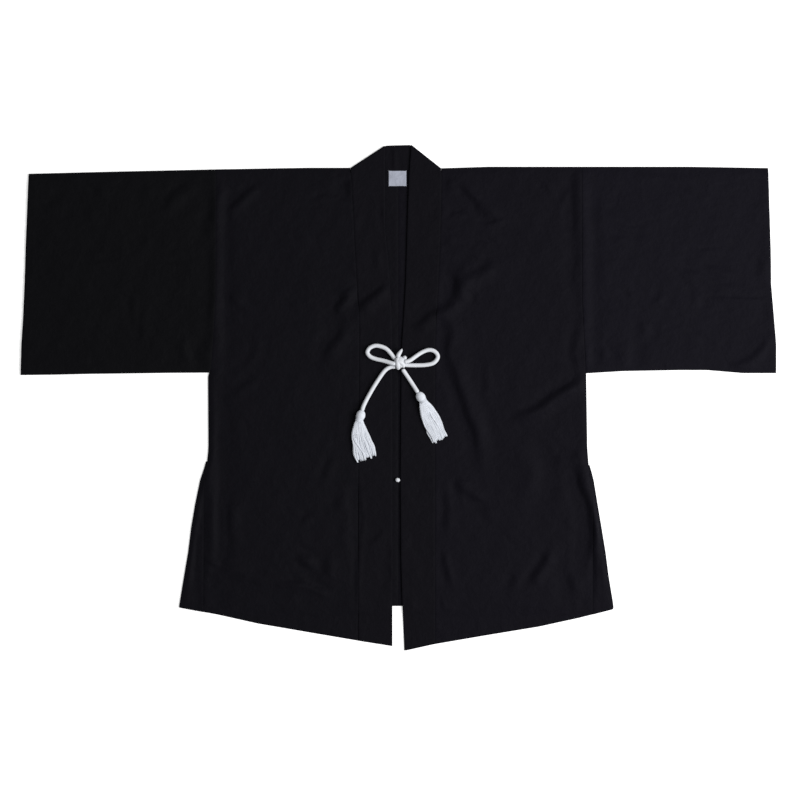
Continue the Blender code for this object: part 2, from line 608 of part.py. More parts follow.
def band_run(side):
    """The band on one front, from the hem up to its slanting fold: [row, across, xyz]."""
    sign = SIGN[side]
    across = np.linspace(0.0, 1.0, BAND_STEPS + 1)
    (outer_x, outer_y), (inner_x, inner_y) = NECK_FOLD[side]
    back_off = NECK_FOLD_RADIUS + BAND / 2
    along = np.array([inner_x - outer_x, inner_y - outer_y])
    along /= np.linalg.norm(along)
    outward = np.array([sign * abs(along[1]), abs(along[0])])
    # At its outer end the turn bulges straight up the coat, so that it stays beside the shoulder
    bulge = np.outer(1.0 - across, [0.0, 1.0 / outward[1]]) + np.outer(across, outward)
    start = np.array([outer_x - sign * FOLD_CLEAR, outer_y]) - bulge[0] * back_off
    end = np.array([inner_x, inner_y]) - bulge[-1] * back_off
    tilt = end[1] - start[1]
    rows = []
    hem_x = np.interp(across, [0, 1], [band_edge(side, OUTER, BACK_HEM), band_edge(side, INNER, BACK_HEM)])
    for step in range(HEM_STEPS, 0, -1):
        y = BACK_HEM + (between(FRONT_HEM, COLUMN[side], hem_x) - BACK_HEM) * step / HEM_STEPS
        outer = band_edge(side, OUTER, y)
        inner = band_edge(side, INNER, y)
        rows.append(np.stack([sign * (outer + (inner - outer) * across), y], axis=1))
    for y in [*stops(FRONT_LEVELS, CELL)[::-1], start[1] - BAND_LAST_STEP]:
        lean = y + tilt * ease((y - BAND_TILT_FROM) / (start[1] - BAND_TILT_FROM)) * across
        outer = band_edge(side, OUTER, lean)
        inner = band_edge(side, INNER, lean)
        rows.append(np.stack([sign * (outer + (inner - outer) * across), lean], axis=1))
    flat = np.array(rows)
    height = band_middle(flat[:, :, 0], flat[:, :, 1])
    run = np.concatenate([flat, height[:, :, None]], axis=2)
    crease = start + (end - start) * across[:, None]
    turn = turned_edge(crease, np.full(len(across), BAND / 2),
                       np.full(len(across), BAND / 2 + 2 * NECK_FOLD_RADIUS), bulge)
    return np.concatenate([run, turn[::-1]])


def collar(look):
    """One band from the left front hem round the back neck to the right front hem."""
    across = np.linspace(0.0, 1.0, BAND_STEPS + 1)
    neck = np.zeros((len(NECK_BAND), len(across), 3))
    for row, (seam_x, seam_y, free_x, free_y) in enumerate(NECK_BAND):
        neck[row, :, 0] = seam_x + (free_x - seam_x) * across
        neck[row, :, 1] = seam_y + (free_y - seam_y) * across
        neck[row, :, 2] = BAND / 2
    grid = np.concatenate([band_run("left"), neck, band_run("right")[::-1]])
    return shell("collar", grid, BAND, look)


def label(look):
    """A small woven patch below the back neck."""
    bpy.ops.mesh.primitive_cube_add(size=1.0)
    made = bpy.context.active_object
    made.name = "label"
    low = CLOTH + LAYER
    made.data.transform(Matrix.Diagonal((LABEL_WIDTH, LABEL_HEIGHT, LABEL_THICK, 1.0)))
    made.location = (*LABEL_MIDDLE, low + LABEL_THICK / 2)
    made.data.materials.append(look)
    place_in_coat(made)
    return made


def place_in_coat(made):
    for holder in list(made.users_collection):
        holder.objects.unlink(made)
    bpy.data.collections[COAT].objects.link(made)


def put_aside(made):
    """Keep a cutter or a piece that is joined to another out of the coat."""
    for holder in list(made.users_collection):
        holder.objects.unlink(made)
    bpy.data.collections["cutters"].objects.link(made)
    made.hide_render = True
    made.display_type = "WIRE"


def smooth_path(route, spacing):
    """Evenly spaced points of a smooth curve through the route's points."""
    given = np.array(route)
    held = np.concatenate([2 * given[:1] - given[1:2], given, 2 * given[-1:] - given[-2:-1]])
    t = np.linspace(0.0, 1.0, CURVE_STEPS, endpoint=False)[:, None]
    fine = []
    for p0, p1, p2, p3 in zip(held[:-3], held[1:-2], held[2:-1], held[3:]):
        fine.append(0.5 * (2 * p1 + (p2 - p0) * t + (2 * p0 - 5 * p1 + 4 * p2 - p3) * t ** 2
                           + (3 * p1 - p0 - 3 * p2 + p3) * t ** 3))
    fine = np.concatenate(fine + [given[-1:]])
    walked = np.concatenate([[0.0], np.cumsum(np.linalg.norm(np.diff(fine, axis=0), axis=1))])
    count = max(2, round(walked[-1] / spacing) + 1)
    marks = np.linspace(0.0, walked[-1], count)
    return np.stack([np.interp(marks, walked, fine[:, axis]) for axis in range(3)], axis=1)


def tube(name, points, radii):
    """A round cord along points, with flat ends, as a curve object."""
    data = bpy.data.curves.new(name, "CURVE")
    data.dimensions = "3D"
    data.bevel_depth = max(radii)
    data.bevel_resolution = 2
    data.use_fill_caps = True
    spline = data.splines.new("POLY")
    spline.points.add(len(points) - 1)
    for point, place, radius in zip(spline.points, points, radii):
        point.co = (*place, 1.0)
        point.radius = radius / max(radii)
    made = bpy.data.objects.new(name, data)
    bpy.data.collections[COAT].objects.link(made)
    return made


def as_mesh(made):
    """Turn a curve object into a closed mesh object of the same name."""
    depsgraph = bpy.context.evaluated_depsgraph_get()
    mesh = bpy.data.meshes.new_from_object(made.evaluated_get(depsgraph))
    work = bmesh.new()
    work.from_mesh(mesh)
    bmesh.ops.remove_doubles(work, verts=work.verts, dist=WELD)
    bmesh.ops.recalc_face_normals(work, faces=work.faces)
    work.to_mesh(mesh)
    work.free()
    name = made.name
    place = made.matrix_world.copy()
    bpy.data.objects.remove(made, do_unlink=True)
    solid = bpy.data.objects.new(name, mesh)
    solid.matrix_world = place
    bpy.data.collections[COAT].objects.link(solid)
    return solid


def combine(solid, other, how):
    """Boolean with another solid, which is put aside."""
    put_aside(other)
    cut = solid.modifiers.new(other.name, "BOOLEAN")
    cut.operation = how
    cut.object = other
    cut.solver = "EXACT"


def tie_cords(look):
    """The stretches of cord between the knot and the tassels."""
    for name, route in ROUTES.items():
        points = smooth_path(route, CORD * CORD_STEP)
        made = tube(name, points, [CORD / 2] * len(points))
        made.data.materials.append(look)


def socket(name, end, before):
    """A cutter for the seat of a cord's end, a little wider and deeper than the cord."""
    end, before = Vector(end), Vector(before)
    step = (end - before).normalized()
    points = [before, end + step * SOCKET_GAP]
    return as_mesh(tube(name, points, [CORD / 2 + SOCKET_GAP] * 2))


def route_ends(name):
    """First and last point of a cord's tube, each with the point next to it."""
    points = smooth_path(ROUTES[name], CORD * CORD_STEP)
    return (points[0], points[1]), (points[-1], points[-2])


def knot(look):
    """A core wrapped by turns of the cord, with an upright tip and a stub below."""
    bpy.ops.mesh.primitive_uv_sphere_add(segments=KNOT_SEGMENTS, ring_count=KNOT_RINGS, radius=1.0)
    core = bpy.context.active_object
    core.name = "tie_knot"
    core.data.transform(Matrix.Diagonal((*KNOT_CORE, 1.0)))
    core.data.transform(Matrix.Translation(KNOT_MIDDLE))
    core.data.materials.append(look)
    place_in_coat(core)
    for number, (radius, route) in enumerate(KNOT_TURNS):
        points = smooth_path(route, KNOT_STEP)
        dive = radius * KNOT_DIVE
        turn = tube(f"knot_turn_{number}", points, [dive] + [radius] * (len(points) - 2) + [dive])
        combine(core, as_mesh(turn), "UNION")
    for name, rows in (("knot_tip", KNOT_TIP), ("knot_stub", KNOT_STUB)):
        piece = tube(name, [place for _, place in rows], [radius for radius, _ in rows])
        combine(core, as_mesh(piece), "UNION")
    for name in ROUTES:
        first, last = route_ends(name)
        ends = (first, last) if "loop" in name else (first,)
        for number, (end, before) in enumerate(ends):
            combine(core, socket(f"seat_{name}_{number}", end, before), "DIFFERENCE")
    return core


def strand(place_at, layer, across, length):
    """Points and half thickness of one thread from inside the head to its end."""
    points, halves = [], []
    for step in range(STRAND_STEPS + 1):
        share = length * step / STRAND_STEPS
        middle, side, half_width = place_at(share)
        settled = ease(share / STRAND_SETTLE)
        root_z = HEAD_LEVEL + (layer - (STRAND_LAYERS - 1) / 2) * ROOT_RISE
        rest_z = FLAT_TOP + LAYER + STRAND_HALF + layer * STRAND_RISE
        place = middle + side * (half_width * across)
        points.append((place[0], place[1], root_z + (rest_z - root_z) * settled))
        halves.append(STRAND_ROOT + (STRAND_HALF - STRAND_ROOT) * ease(share / STRAND_FILL))
    return points, halves


def tassel(side, look):
    """A wound head with its threads fused in at the root, lying on the front."""
    facts = TASSELS[side]
    head_x, head_y = facts["head"]
    lean = Vector((*facts["lean"], 0.0)).normalized()
    bpy.ops.mesh.primitive_uv_sphere_add(segments=HEAD_SEGMENTS, ring_count=HEAD_RINGS, radius=1.0)
    head = bpy.context.active_object
    head.name = f"tassel_{side}"
    head.data.transform(Matrix.Rotation(math.pi / 2, 4, "X"))
    head.data.transform(Matrix.Diagonal((*HEAD, 1.0)))
    head.data.transform(Matrix.Rotation(math.atan2(lean.y, lean.x) - math.pi / 2, 4, "Z"))
    head.data.transform(Matrix.Translation((head_x, head_y, HEAD_LEVEL)))
    head.data.materials.append(look)
    place_in_coat(head)

    skirt = np.array(facts["skirt"])

    def place_at(share):
        """Middle, sideways direction and half width of the skirt at a share of its length."""
        behind, here, ahead = [
            np.array([np.interp(share + reach, skirt[:, 0], skirt[:, column]) for column in (1, 2)])
            for reach in (-SKIRT_REACH, 0.0, SKIRT_REACH)
        ]
        run = (ahead - behind) / np.linalg.norm(ahead - behind)
        return here, np.array([-run[1], run[0]]), np.interp(share, skirt[:, 0], skirt[:, 3])

    _, sideways, _ = place_at(0.5)
    threads = bmesh.new()
    for layer in range(STRAND_LAYERS):
        for number in range(STRANDS_ACROSS):
            across = -1.0 + 2.0 * (number + 0.5) / STRANDS_ACROSS
            uneven = math.sin(UNEVEN_ACROSS * number + UNEVEN_LAYER * layer)
            length = STRAND_LENGTH + STRAND_UNEVEN * uneven - SKIRT_ROUND * across ** 2
            points, halves = strand(place_at, layer, across, length)
            rings = []
            for (x, y, z), half in zip(points, halves):
                rings.append([threads.verts.new((x + sideways[0] * half * u, y + sideways[1] * half * u,
                                                 z + half * v)) for u, v in STRAND_SECTION])
            for near, far in zip(rings[:-1], rings[1:]):
                for corner in range(len(STRAND_SECTION)):
                    beside = (corner + 1) % len(STRAND_SECTION)
                    threads.faces.new((near[corner], near[beside], far[beside], far[corner]))
            threads.faces.new(rings[0][::-1])
            threads.faces.new(rings[-1])
    bmesh.ops.recalc_face_normals(threads, faces=threads.faces)
    mesh = bpy.data.meshes.new(f"threads_{side}")
    threads.to_mesh(mesh)
    threads.free()
    fringe = bpy.data.objects.new(f"threads_{side}", mesh)
    bpy.data.collections[COAT].objects.link(fringe)
    combine(head, fringe, "UNION")
    _, (end, before) = route_ends(f"tie_tail_{side}")
    combine(head, socket(f"seat_tassel_{side}", end, before), "DIFFERENCE")
    return head


def cord_end(look):
    """A short length of cord with rounded ends, lying on the back in the front opening."""
    level = CLOTH + LAYER + END_RADIUS
    points, radii = [], []
    for share, wide in END_PROFILE:
        reach = END_LENGTH * share
        points.append((END_MIDDLE[0] + reach * math.cos(END_TURN),
                       END_MIDDLE[1] + reach * math.sin(END_TURN), level))
        radii.append(END_RADIUS * wide)
    made = tube("cord_end", points, radii)
    made.data.materials.append(look)
    return made


def main():
    for found in list(bpy.data.objects):
        bpy.data.objects.remove(found, do_unlink=True)
    new_collection(COAT)
    new_collection("cutters")
    black = material("black cloth", (0.012, 0.012, 0.016), 0.85)
    band_black = material("black band cloth", (0.013, 0.012, 0.017), 0.82)
    white = material("white braid", (0.80, 0.82, 0.86), 0.75)
    patch = material("label cloth", (0.62, 0.63, 0.68), 0.80)
    for side in SIGN:
        body_panel(side, black)
        sleeve(side, black)
        gusset(side, black)
    collar(band_black)
    label(patch)
    tie_cords(white)
    knot(white)
    for side in SIGN:
        tassel(side, white)
    cord_end(white)


main()
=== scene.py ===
"""Looks of a kimono jacket (haori) that lies flat on a pale floor with its front up.

Laid out as a Blender add-on and run as a script. Metres, +Z up; +X is the right of someone who looks
down at the front, and +Y runs from hem to neck. Each cloth piece is a middle surface on a grid, whose
two parameters run across and along the cut, with a wall that is rounded off at its free edges.
"""

import math

import bpy
import numpy as np
from bpy.props import FloatProperty, FloatVectorProperty, IntProperty, PointerProperty
from bpy.types import Operator, Panel, PropertyGroup
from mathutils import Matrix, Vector


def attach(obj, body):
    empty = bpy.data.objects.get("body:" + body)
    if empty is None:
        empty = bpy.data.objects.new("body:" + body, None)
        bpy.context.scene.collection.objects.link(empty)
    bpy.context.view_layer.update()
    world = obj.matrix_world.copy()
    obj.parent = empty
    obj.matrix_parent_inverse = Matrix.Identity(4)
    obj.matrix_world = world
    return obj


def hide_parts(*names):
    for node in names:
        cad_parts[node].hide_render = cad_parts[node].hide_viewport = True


bl_info = {
    "name": "Laid kimono jacket",
    "version": (1, 0, 0),
    "blender": (4, 5, 0),
    "location": "View3D > Sidebar > Coat",
    "description": "Cloth, tie cord, tassels, sewing and stage of a kimono jacket laid flat",
    "category": "Object",
}

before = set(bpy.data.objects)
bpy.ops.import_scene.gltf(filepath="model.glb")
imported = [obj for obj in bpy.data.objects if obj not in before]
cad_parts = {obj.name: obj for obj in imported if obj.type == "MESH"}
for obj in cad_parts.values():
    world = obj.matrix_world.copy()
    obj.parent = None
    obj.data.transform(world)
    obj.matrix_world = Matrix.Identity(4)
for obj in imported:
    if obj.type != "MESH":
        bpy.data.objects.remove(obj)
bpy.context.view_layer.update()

# Cloth, seams and layers
CLOTH = 0.0012  # wall of the body, sleeves and gussets
BAND = 0.0022  # the collar band is the same cloth doubled
SEAM = 0.0004  # gap that a seam leaves between two pieces
LAYER = 0.00035  # gap between two pieces that lie on each other
BACK_MID = CLOTH / 2  # middle of the back's wall, flat on the table
FRONT_LOW = CLOTH + LAYER + CLOTH / 2
FRONT_AIR = 0.0016  # air that the soft front keeps above the back
BAND_LOW = CLOTH + LAYER + BAND / 2
FLAT_TOP = FRONT_LOW + FRONT_AIR + CLOTH / 2  # upper face of fronts and band where nothing lifts them
PINCH = 0.012  # distance over which the front sinks to a sewn or folded edge
EDGE_AIR = 0.0003  # air that is left at such an edge
LEAST_AIR = 0.0002  # a trough flattens out about this far above the back
CUFF_SLACK = 0.6  # the open cuff sinks by this share of what a sewn edge does
EDGE_PROBE = 0.002  # a layer's height at an edge is read this far inside it

# Main lengths
BACK_HEM = -0.3862  # the back's hem is straight
NECK_SEAM = 0.4206  # where the band is sewn to the back neck
UNDERARM = 0.0455  # where the sleeve's lower edge meets the body
HEM_DROP = 0.020  # length in which the fronts come down off the back's hem
SHOULDER_LEVEL = 0.424  # where the fold over the shoulder meets the sleeve
SLEEVE_SPAN = (0.34, 0.70)  # the sleeve from armhole to cuff, roughly
ARMHOLE_CORNER = 0.010  # the underarm corner counts as sleeve down to this far below it
GUSSET_TIP = {"left": -0.118, "right": -0.125}
SIGN = {"left": -1.0, "right": 1.0}
COLUMN = {"left": 1, "right": 2}

# Edge of the body, a distance from the middle: y, left, right
BODY_EDGE = [
    (0.4240, 0.3380, 0.3398),
    (0.1800, 0.3385, 0.3405),
    (0.0560, 0.3465, 0.3470),
    (0.0400, 0.3520, 0.3474),
    (-0.0940, 0.3512, 0.3494),
    (-0.1310, 0.3550, 0.3524),
    (-0.1740, 0.3602, 0.3570),
    (-0.2040, 0.3606, 0.3602),
    (-0.3990, 0.3611, 0.3602),
]

# Folded edge of the gusset: y, left, right
GUSSET_EDGE = [
    (-0.1080, 0.3545, 0.3510),
    (-0.1310, 0.3602, 0.3565),
    (-0.1530, 0.3676, 0.3621),
    (-0.1980, 0.3769, 0.3695),
    (-0.2420, 0.3843, 0.3769),
    (-0.2870, 0.3899, 0.3843),
    (-0.3310, 0.3974, 0.3899),
    (-0.3760, 0.4048, 0.3974),
    (-0.3990, 0.4085, 0.4005),
]

# Cuff: y, left, right
CUFF = [
    (0.4300, 0.6845, 0.6852),
    (0.3667, 0.6870, 0.6870),
    (0.2739, 0.6907, 0.6900),
    (0.2107, 0.6925, 0.6907),
    (0.1439, 0.6955, 0.6963),
    (0.0993, 0.6984, 0.7000),
    (0.0430, 0.7000, 0.7000),
]

# Fold along the top of shoulder and sleeve: distance from the middle, left y, right y
SHOULDER = [
    (0.0800, 0.4261, 0.4252),
    (0.1670, 0.4261, 0.4280),
    (0.3380, 0.4232, 0.4280),
    (0.5400, 0.4187, 0.4280),
    (0.6852, 0.4150, 0.4256),
]

# Lower edge of the sleeve: distance from the middle, left y, right y
SLEEVE_BOTTOM = [
    (0.3400, 0.0464, 0.0446),
    (0.4160, 0.0460, 0.0492),
    (0.5200, 0.0446, 0.0511),
    (0.5719, 0.0440, 0.0511),
    (0.6387, 0.0425, 0.0455),
    (0.7000, 0.0418, 0.0455),
]

# Front hem: distance from the middle, left y, right y
FRONT_HEM = [
    (0.0111, -0.4605, -0.4686),
    (0.0650, -0.4521, -0.4573),
    (0.1620, -0.4356, -0.4407),
    (0.2610, -0.4186, -0.4244),
    (0.3360, -0.4018, -0.4080),
    (0.4060, -0.3890, -0.3900),
]

# Edges of the collar band, distances from the middle: y, left outer, right outer, left inner, right inner
BAND_EDGES = [
    (0.4670, 0.0891, 0.0798, 0.0249, 0.0241),
    (0.4230, 0.0891, 0.0798, 0.0249, 0.0204),
    (0.4020, 0.0863, 0.0798, 0.0249, 0.0195),
    (0.3500, 0.0838, 0.0793, 0.0249, 0.0174),
    (0.3020, 0.0816, 0.0778, 0.0249, 0.0160),
    (0.2800, 0.0806, 0.0770, 0.0212, 0.0154),
    (0.2015, 0.0760, 0.0737, 0.0149, 0.0130),
    (0.1439, 0.0720, 0.0700, 0.0121, 0.0093),
    (0.0900, 0.0721, 0.0681, 0.0115, 0.0056),
    (-0.1439, 0.0740, 0.0678, 0.0111, 0.0037),
    (-0.3017, 0.0743, 0.0678, 0.0111, 0.0048),
    (-0.3860, 0.0743, 0.0678, 0.0111, 0.0074),
    (-0.4690, 0.0743, 0.0678, 0.0111, 0.0111),
]
BAND_SOFTEN = 0.020  # length over which the corners of that line are rounded
SOFTEN_STEPS = (-1.0, -0.5, 0.0, 0.5, 1.0)
OUTER = {"left": 1, "right": 2}
INNER = {"left": 3, "right": 4}

# The band turns behind the neck along a slanting fold, from its outer to its inner edge
NECK_FOLD = {
    "left": ((-0.0891, 0.4261), (-0.0258, 0.4670)),
    "right": ((0.0798, 0.4252), (0.0242, 0.4686)),
}
NECK_FOLD_RADIUS = 0.0017
FOLD_CLEAR = 0.0007  # the fold's outer end keeps this far from the shoulder
BAND_TILT_FROM = 0.350  # from here up the band leans into that fold
BAND_RISE_FROM = 0.335  # from here up it rises onto the layer that lies behind the neck
BAND_RISE_LENGTH = 0.070

# Band behind the neck, from the left fold to the right: seam edge x, y and free edge x, y
NECK_BAND = [
    (-0.0700, 0.4214, -0.0228, 0.4672),
    (-0.0480, 0.4210, -0.0166, 0.4674),
    (-0.0260, 0.4210, -0.0118, 0.4676),
    (-0.0085, 0.4210, -0.0045, 0.4678),
    (0.0085, 0.4210, 0.0045, 0.4680),
    (0.0250, 0.4210, 0.0115, 0.4682),
    (0.0440, 0.4210, 0.0160, 0.4683),
    (0.0620, 0.4213, 0.0210, 0.4684),
]

# Largest folds of the front, a trough's height below 0: height, half width, and places that each runs through
FOLDS = [
    (0.0028, 0.015, [(-0.325, 0.335), (-0.295, 0.365), (-0.255, 0.396)]),
    (-0.0013, 0.012, [(-0.345, 0.350), (-0.345, 0.270)]),
    (0.0022, 0.014, [(-0.425, 0.345), (-0.398, 0.372), (-0.374, 0.397)]),
    (0.0020, 0.014, [(-0.405, 0.110), (-0.380, 0.078), (-0.362, 0.060)]),
    (0.0018, 0.013, [(-0.350, 0.180), (-0.320, 0.175), (-0.292, 0.177)]),
    (0.0030, 0.013, [(-0.078, 0.154), (-0.052, 0.178), (-0.022, 0.206)]),
    (0.0026, 0.018, [(-0.116, 0.196), (-0.104, 0.170), (-0.100, 0.150)]),
    (-0.0014, 0.016, [(-0.132, 0.160), (-0.130, 0.098)]),
    (0.0030, 0.016, [(-0.338, -0.120), (-0.337, -0.220), (-0.333, -0.300)]),
    (0.0026, 0.014, [(-0.358, -0.302), (-0.300, -0.316), (-0.235, -0.338), (-0.130, -0.352)]),
    (0.0018, 0.014, [(-0.192, -0.288), (-0.160, -0.302), (-0.132, -0.298)]),
    (0.0048, 0.014, [(0.022, 0.139), (0.074, 0.168), (0.110, 0.200), (0.112, 0.228), (0.176, 0.256)]),
    (0.0030, 0.016, [(0.120, 0.392), (0.150, 0.358), (0.186, 0.336)]),
    (0.0022, 0.014, [(0.156, 0.330), (0.200, 0.340)]),
    (-0.0015, 0.016, [(0.086, 0.140), (0.098, 0.080), (0.122, 0.005), (0.145, -0.080), (0.174, -0.150)]),
    (0.0028, 0.018, [(0.112, 0.130), (0.122, 0.060), (0.150, -0.030), (0.172, -0.100)]),
    (0.0026, 0.014, [(0.104, -0.146), (0.130, -0.172), (0.160, -0.186)]),
    (0.0044, 0.013, [(0.338, 0.034), (0.300, 0.012), (0.256, -0.016), (0.200, -0.036)]),
    (-0.0014, 0.014, [(0.323, 0.412), (0.323, 0.270), (0.330, 0.170)]),
    (0.0034, 0.014, [(0.286, -0.092), (0.322, -0.100), (0.338, -0.160), (0.346, -0.230), (0.340, -0.305)]),
    (0.0028, 0.013, [(0.286, -0.272), (0.262, -0.306), (0.238, -0.336)]),
    (0.0020, 0.014, [(0.575, 0.186), (0.630, 0.189), (0.690, 0.183)]),
    (0.0018, 0.013, [(0.522, 0.240), (0.575, 0.232), (0.625, 0.222)]),
    (0.0026, 0.014, [(0.690, 0.128), (0.668, 0.088), (0.636, 0.068), (0.606, 0.062)]),
    (0.0016, 0.015, [(0.356, 0.324), (0.400, 0.330), (0.448, 0.321)]),
    (0.0015, 0.014, [(-0.106, -0.1426), (-0.060, -0.1470), (-0.013, -0.1510)]),
]
FOLD_TAPER = 0.25  # share of a fold's length over which each end fades
FOLD_END = 0.25  # share of its height that is left at its ends
BAND_STIFFNESS = 0.75  # the doubled band takes this share of a fold's height

# A faint swell all over: height, then each wave's turns along x and y and its shift
SWELL = 0.0003
SWELL_WAVES = ((23.0, 9.0, 0.0), (-5.0, 14.0, 1.3))

# Round the bow the cloth lies smooth: middle and half lengths of that oval, and its soft rim
CALM_MIDDLE = (0.004, -0.005)
CALM_HALF = (0.098, 0.128)
SOFT_RIM = 0.15

# Label
LABEL_WIDTH = 0.0325
LABEL_HEIGHT = 0.0280
LABEL_THICK = 0.0005
LABEL_MIDDLE = (-0.0014, 0.4063)
LABEL_CELLS = (34, 30)
LABEL_RIM = 0.008  # its rounded edge, as a share of its size
LABEL_EDGE = 0.035  # distance and width of its edge's woven cord, as the same share
LABEL_EDGE_RISE = 0.00012
LABEL_WAVE = 0.00012  # height of its flat waves
LABEL_WAVES = ((11.0, 2.0, 0.6), (-3.0, 7.0, 0.0))  # each wave's rates across and up, and its shift
LABEL_SIDE_RATE = 9.0  # rate of the wave in its upper and lower edge
LABEL_PITCH = 0.00030  # pitch of its weave
TACK = 0.0030  # length of a tack
TACK_HALF = 0.00022
TACK_IN = 0.4  # its inner end's distance from the label's edge, in tacks
TACK_OUT = 0.7  # how far it slants outwards each way, in tacks

# Routes of the cord: from the knot round each loop and back, and down each tail
ROUTES = {
    "tie_loop_left": [
        (-0.0052, 0.0702, 0.0104), (-0.0117, 0.0789, 0.0100), (-0.0205, 0.0890, 0.0094),
        (-0.0303, 0.0943, 0.0090), (-0.0427, 0.0962, 0.0088), (-0.0530, 0.0918, 0.0088),
        (-0.0572, 0.0836, 0.0088), (-0.0520, 0.0760, 0.0088), (-0.0412, 0.0716, 0.0092),
        (-0.0273, 0.0684, 0.0116), (-0.0134, 0.0642, 0.0154), (-0.0050, 0.0622, 0.0166),
    ],
    "tie_loop_right": [
        (0.0104, 0.0656, 0.0167), (0.0208, 0.0686, 0.0150), (0.0290, 0.0742, 0.0128),
        (0.0377, 0.0804, 0.0104), (0.0470, 0.0856, 0.0090), (0.0563, 0.0884, 0.0088),
        (0.0655, 0.0866, 0.0088), (0.0722, 0.0800, 0.0088), (0.0722, 0.0722, 0.0088),
        (0.0645, 0.0640, 0.0088), (0.0500, 0.0606, 0.0088), (0.0350, 0.0600, 0.0088),
        (0.0208, 0.0602, 0.0090), (0.0108, 0.0608, 0.0094),
    ],
    "tie_tail_left": [
        (-0.0046, 0.0566, 0.0090), (-0.0117, 0.0572, 0.0088), (-0.0190, 0.0546, 0.0088),
        (-0.0262, 0.0486, 0.0088), (-0.0350, 0.0365, 0.0088), (-0.0440, 0.0225, 0.0088),
        (-0.0520, 0.0088, 0.0088), (-0.0590, -0.0040, 0.0091), (-0.0645, -0.0158, 0.0108),
        (-0.0672, -0.0248, 0.0118),
    ],
    "tie_tail_right": [
        (0.0076, 0.0532, 0.0090), (0.0125, 0.0458, 0.0088), (0.0190, 0.0362, 0.0088),
        (0.0262, 0.0253, 0.0091), (0.0325, 0.0155, 0.0106), (0.0366, 0.0088, 0.0117),
    ],
}

# Knot: fat turns of the cord round a core. Each row: radius, and the places that it runs through
KNOT_MIDDLE = (0.0030, 0.0655, 0.0122)
KNOT_CORE = (0.0112, 0.0104, 0.0073)
KNOT_TURNS = [
    (0.0043, [(-0.0010, 0.0735, 0.0120), (-0.0016, 0.0690, 0.0166), (-0.0010, 0.0630, 0.0172),
              (-0.0004, 0.0575, 0.0136), (-0.0002, 0.0548, 0.0100)]),
    (0.0042, [(-0.0062, 0.0650, 0.0146), (0.0010, 0.0668, 0.0176), (0.0070, 0.0634, 0.0162),
              (0.0092, 0.0590, 0.0122), (0.0078, 0.0562, 0.0098)]),
    (0.0048, [(0.0090, 0.0700, 0.0124), (0.0112, 0.0738, 0.0126), (0.0086, 0.0762, 0.0124)]),
]
KNOT_TIP = [
    (0.0042, (-0.0006, 0.0740, 0.0140)), (0.0040, (0.0004, 0.0790, 0.0135)),
    (0.0034, (0.0030, 0.0835, 0.0120)), (0.0024, (0.0056, 0.0875, 0.0105)),
    (0.0008, (0.0070, 0.0908, 0.0098)),
]
KNOT_STUB = [
    (0.0040, (0.0000, 0.0580, 0.0100)), (0.0043, (-0.0002, 0.0545, 0.0094)),
    (0.0030, (-0.0004, 0.0515, 0.0092)),
]

# Tassels: head, then the skirt's middle line and half width at shares of its length
HEAD = (0.0085, 0.0108, 0.0072)  # half width, half length and half height of a head
HEAD_LEVEL = FLAT_TOP + LAYER + HEAD[2]
TASSELS = {
    "left": {
        "head": (-0.0698, -0.0332),
        "lean": (0.285, 0.958),
        "skirt": [
            (0.00, -0.0714, -0.0385, 0.0052), (0.25, -0.0722, -0.0520, 0.0105),
            (0.50, -0.0700, -0.0710, 0.0165), (0.75, -0.0645, -0.0930, 0.0188),
            (1.00, -0.0580, -0.1150, 0.0196),
        ],
    },
    "right": {
        "head": (0.0416, 0.0009),
        "lean": (-0.540, 0.842),
        "skirt": [
            (0.00, 0.0440, -0.0038, 0.0052), (0.25, 0.0500, -0.0170, 0.0108),
            (0.50, 0.0585, -0.0360, 0.0148), (0.75, 0.0690, -0.0580, 0.0155),
            (1.00, 0.0792, -0.0800, 0.0146),
        ],
    },
}

# Short white cord end in the front opening
END_MIDDLE = (-0.0012, -0.1523)
END_LENGTH = 0.0088
END_RADIUS = 0.0038
END_TURN = math.radians(-14)
END_PROFILE = [(-0.5, 0.62), (-0.38, 0.90), (-0.2, 1.0), (0.2, 1.0), (0.38, 0.90), (0.5, 0.62)]

# Mesh of the visible cloth
CUT_MAP = "cut"  # its flat places, in metres
HEM_ROWS = 18  # rows of a front below the level of the back's hem
GUSSET_ROW = 0.0045  # row height of a gusset
GUSSET_BACK_CELLS = 4
GUSSET_CELLS = 10  # across its front layer
GUSSET_HEM_LEAST = 0.25  # share of the front hem's reach that the gusset's back layer has
GUSSET_HEM_ROWS = 4
GUSSET_HEM_EVEN = 0.8  # share of that reach in even rows
GUSSET_HEM_RIM = 0.18  # share of it over which the hem's edge is rounded
BAND_CELLS = 20
BAND_WIDTH = 0.065  # width of the band, about
BAND_HEM_ROWS = 20
BAND_LAST_STEP = 0.008  # from the band's last level row to its slanting fold
FOLD_LEAD_ROWS = 2  # rows between those two
NECK_ROW = 0.0026  # length of a row behind the neck
NECK_LEAD_ROWS = 6  # rows from a slanting fold to the band behind the neck
NECK_FLAT = 0.3  # behind the neck the band lies flat near both edges
CURVE_STEPS = 24  # steps of a curve from one given point to the next
OUTLINE_ROUNDS = 3  # a sleeve's outline settles in so many rounds
CALM_RIPPLE = 0.5  # share of the ripples that is left round the bow
SEWN_FADE = 0.0040  # distance from an edge over which the sewing's relief comes in
BAND_ROLL = 0.00025  # how far the band swells along both edges
BAND_ROLL_POWER = 0.35
TINY = 1e-12  # keeps a length that is divided by above 0

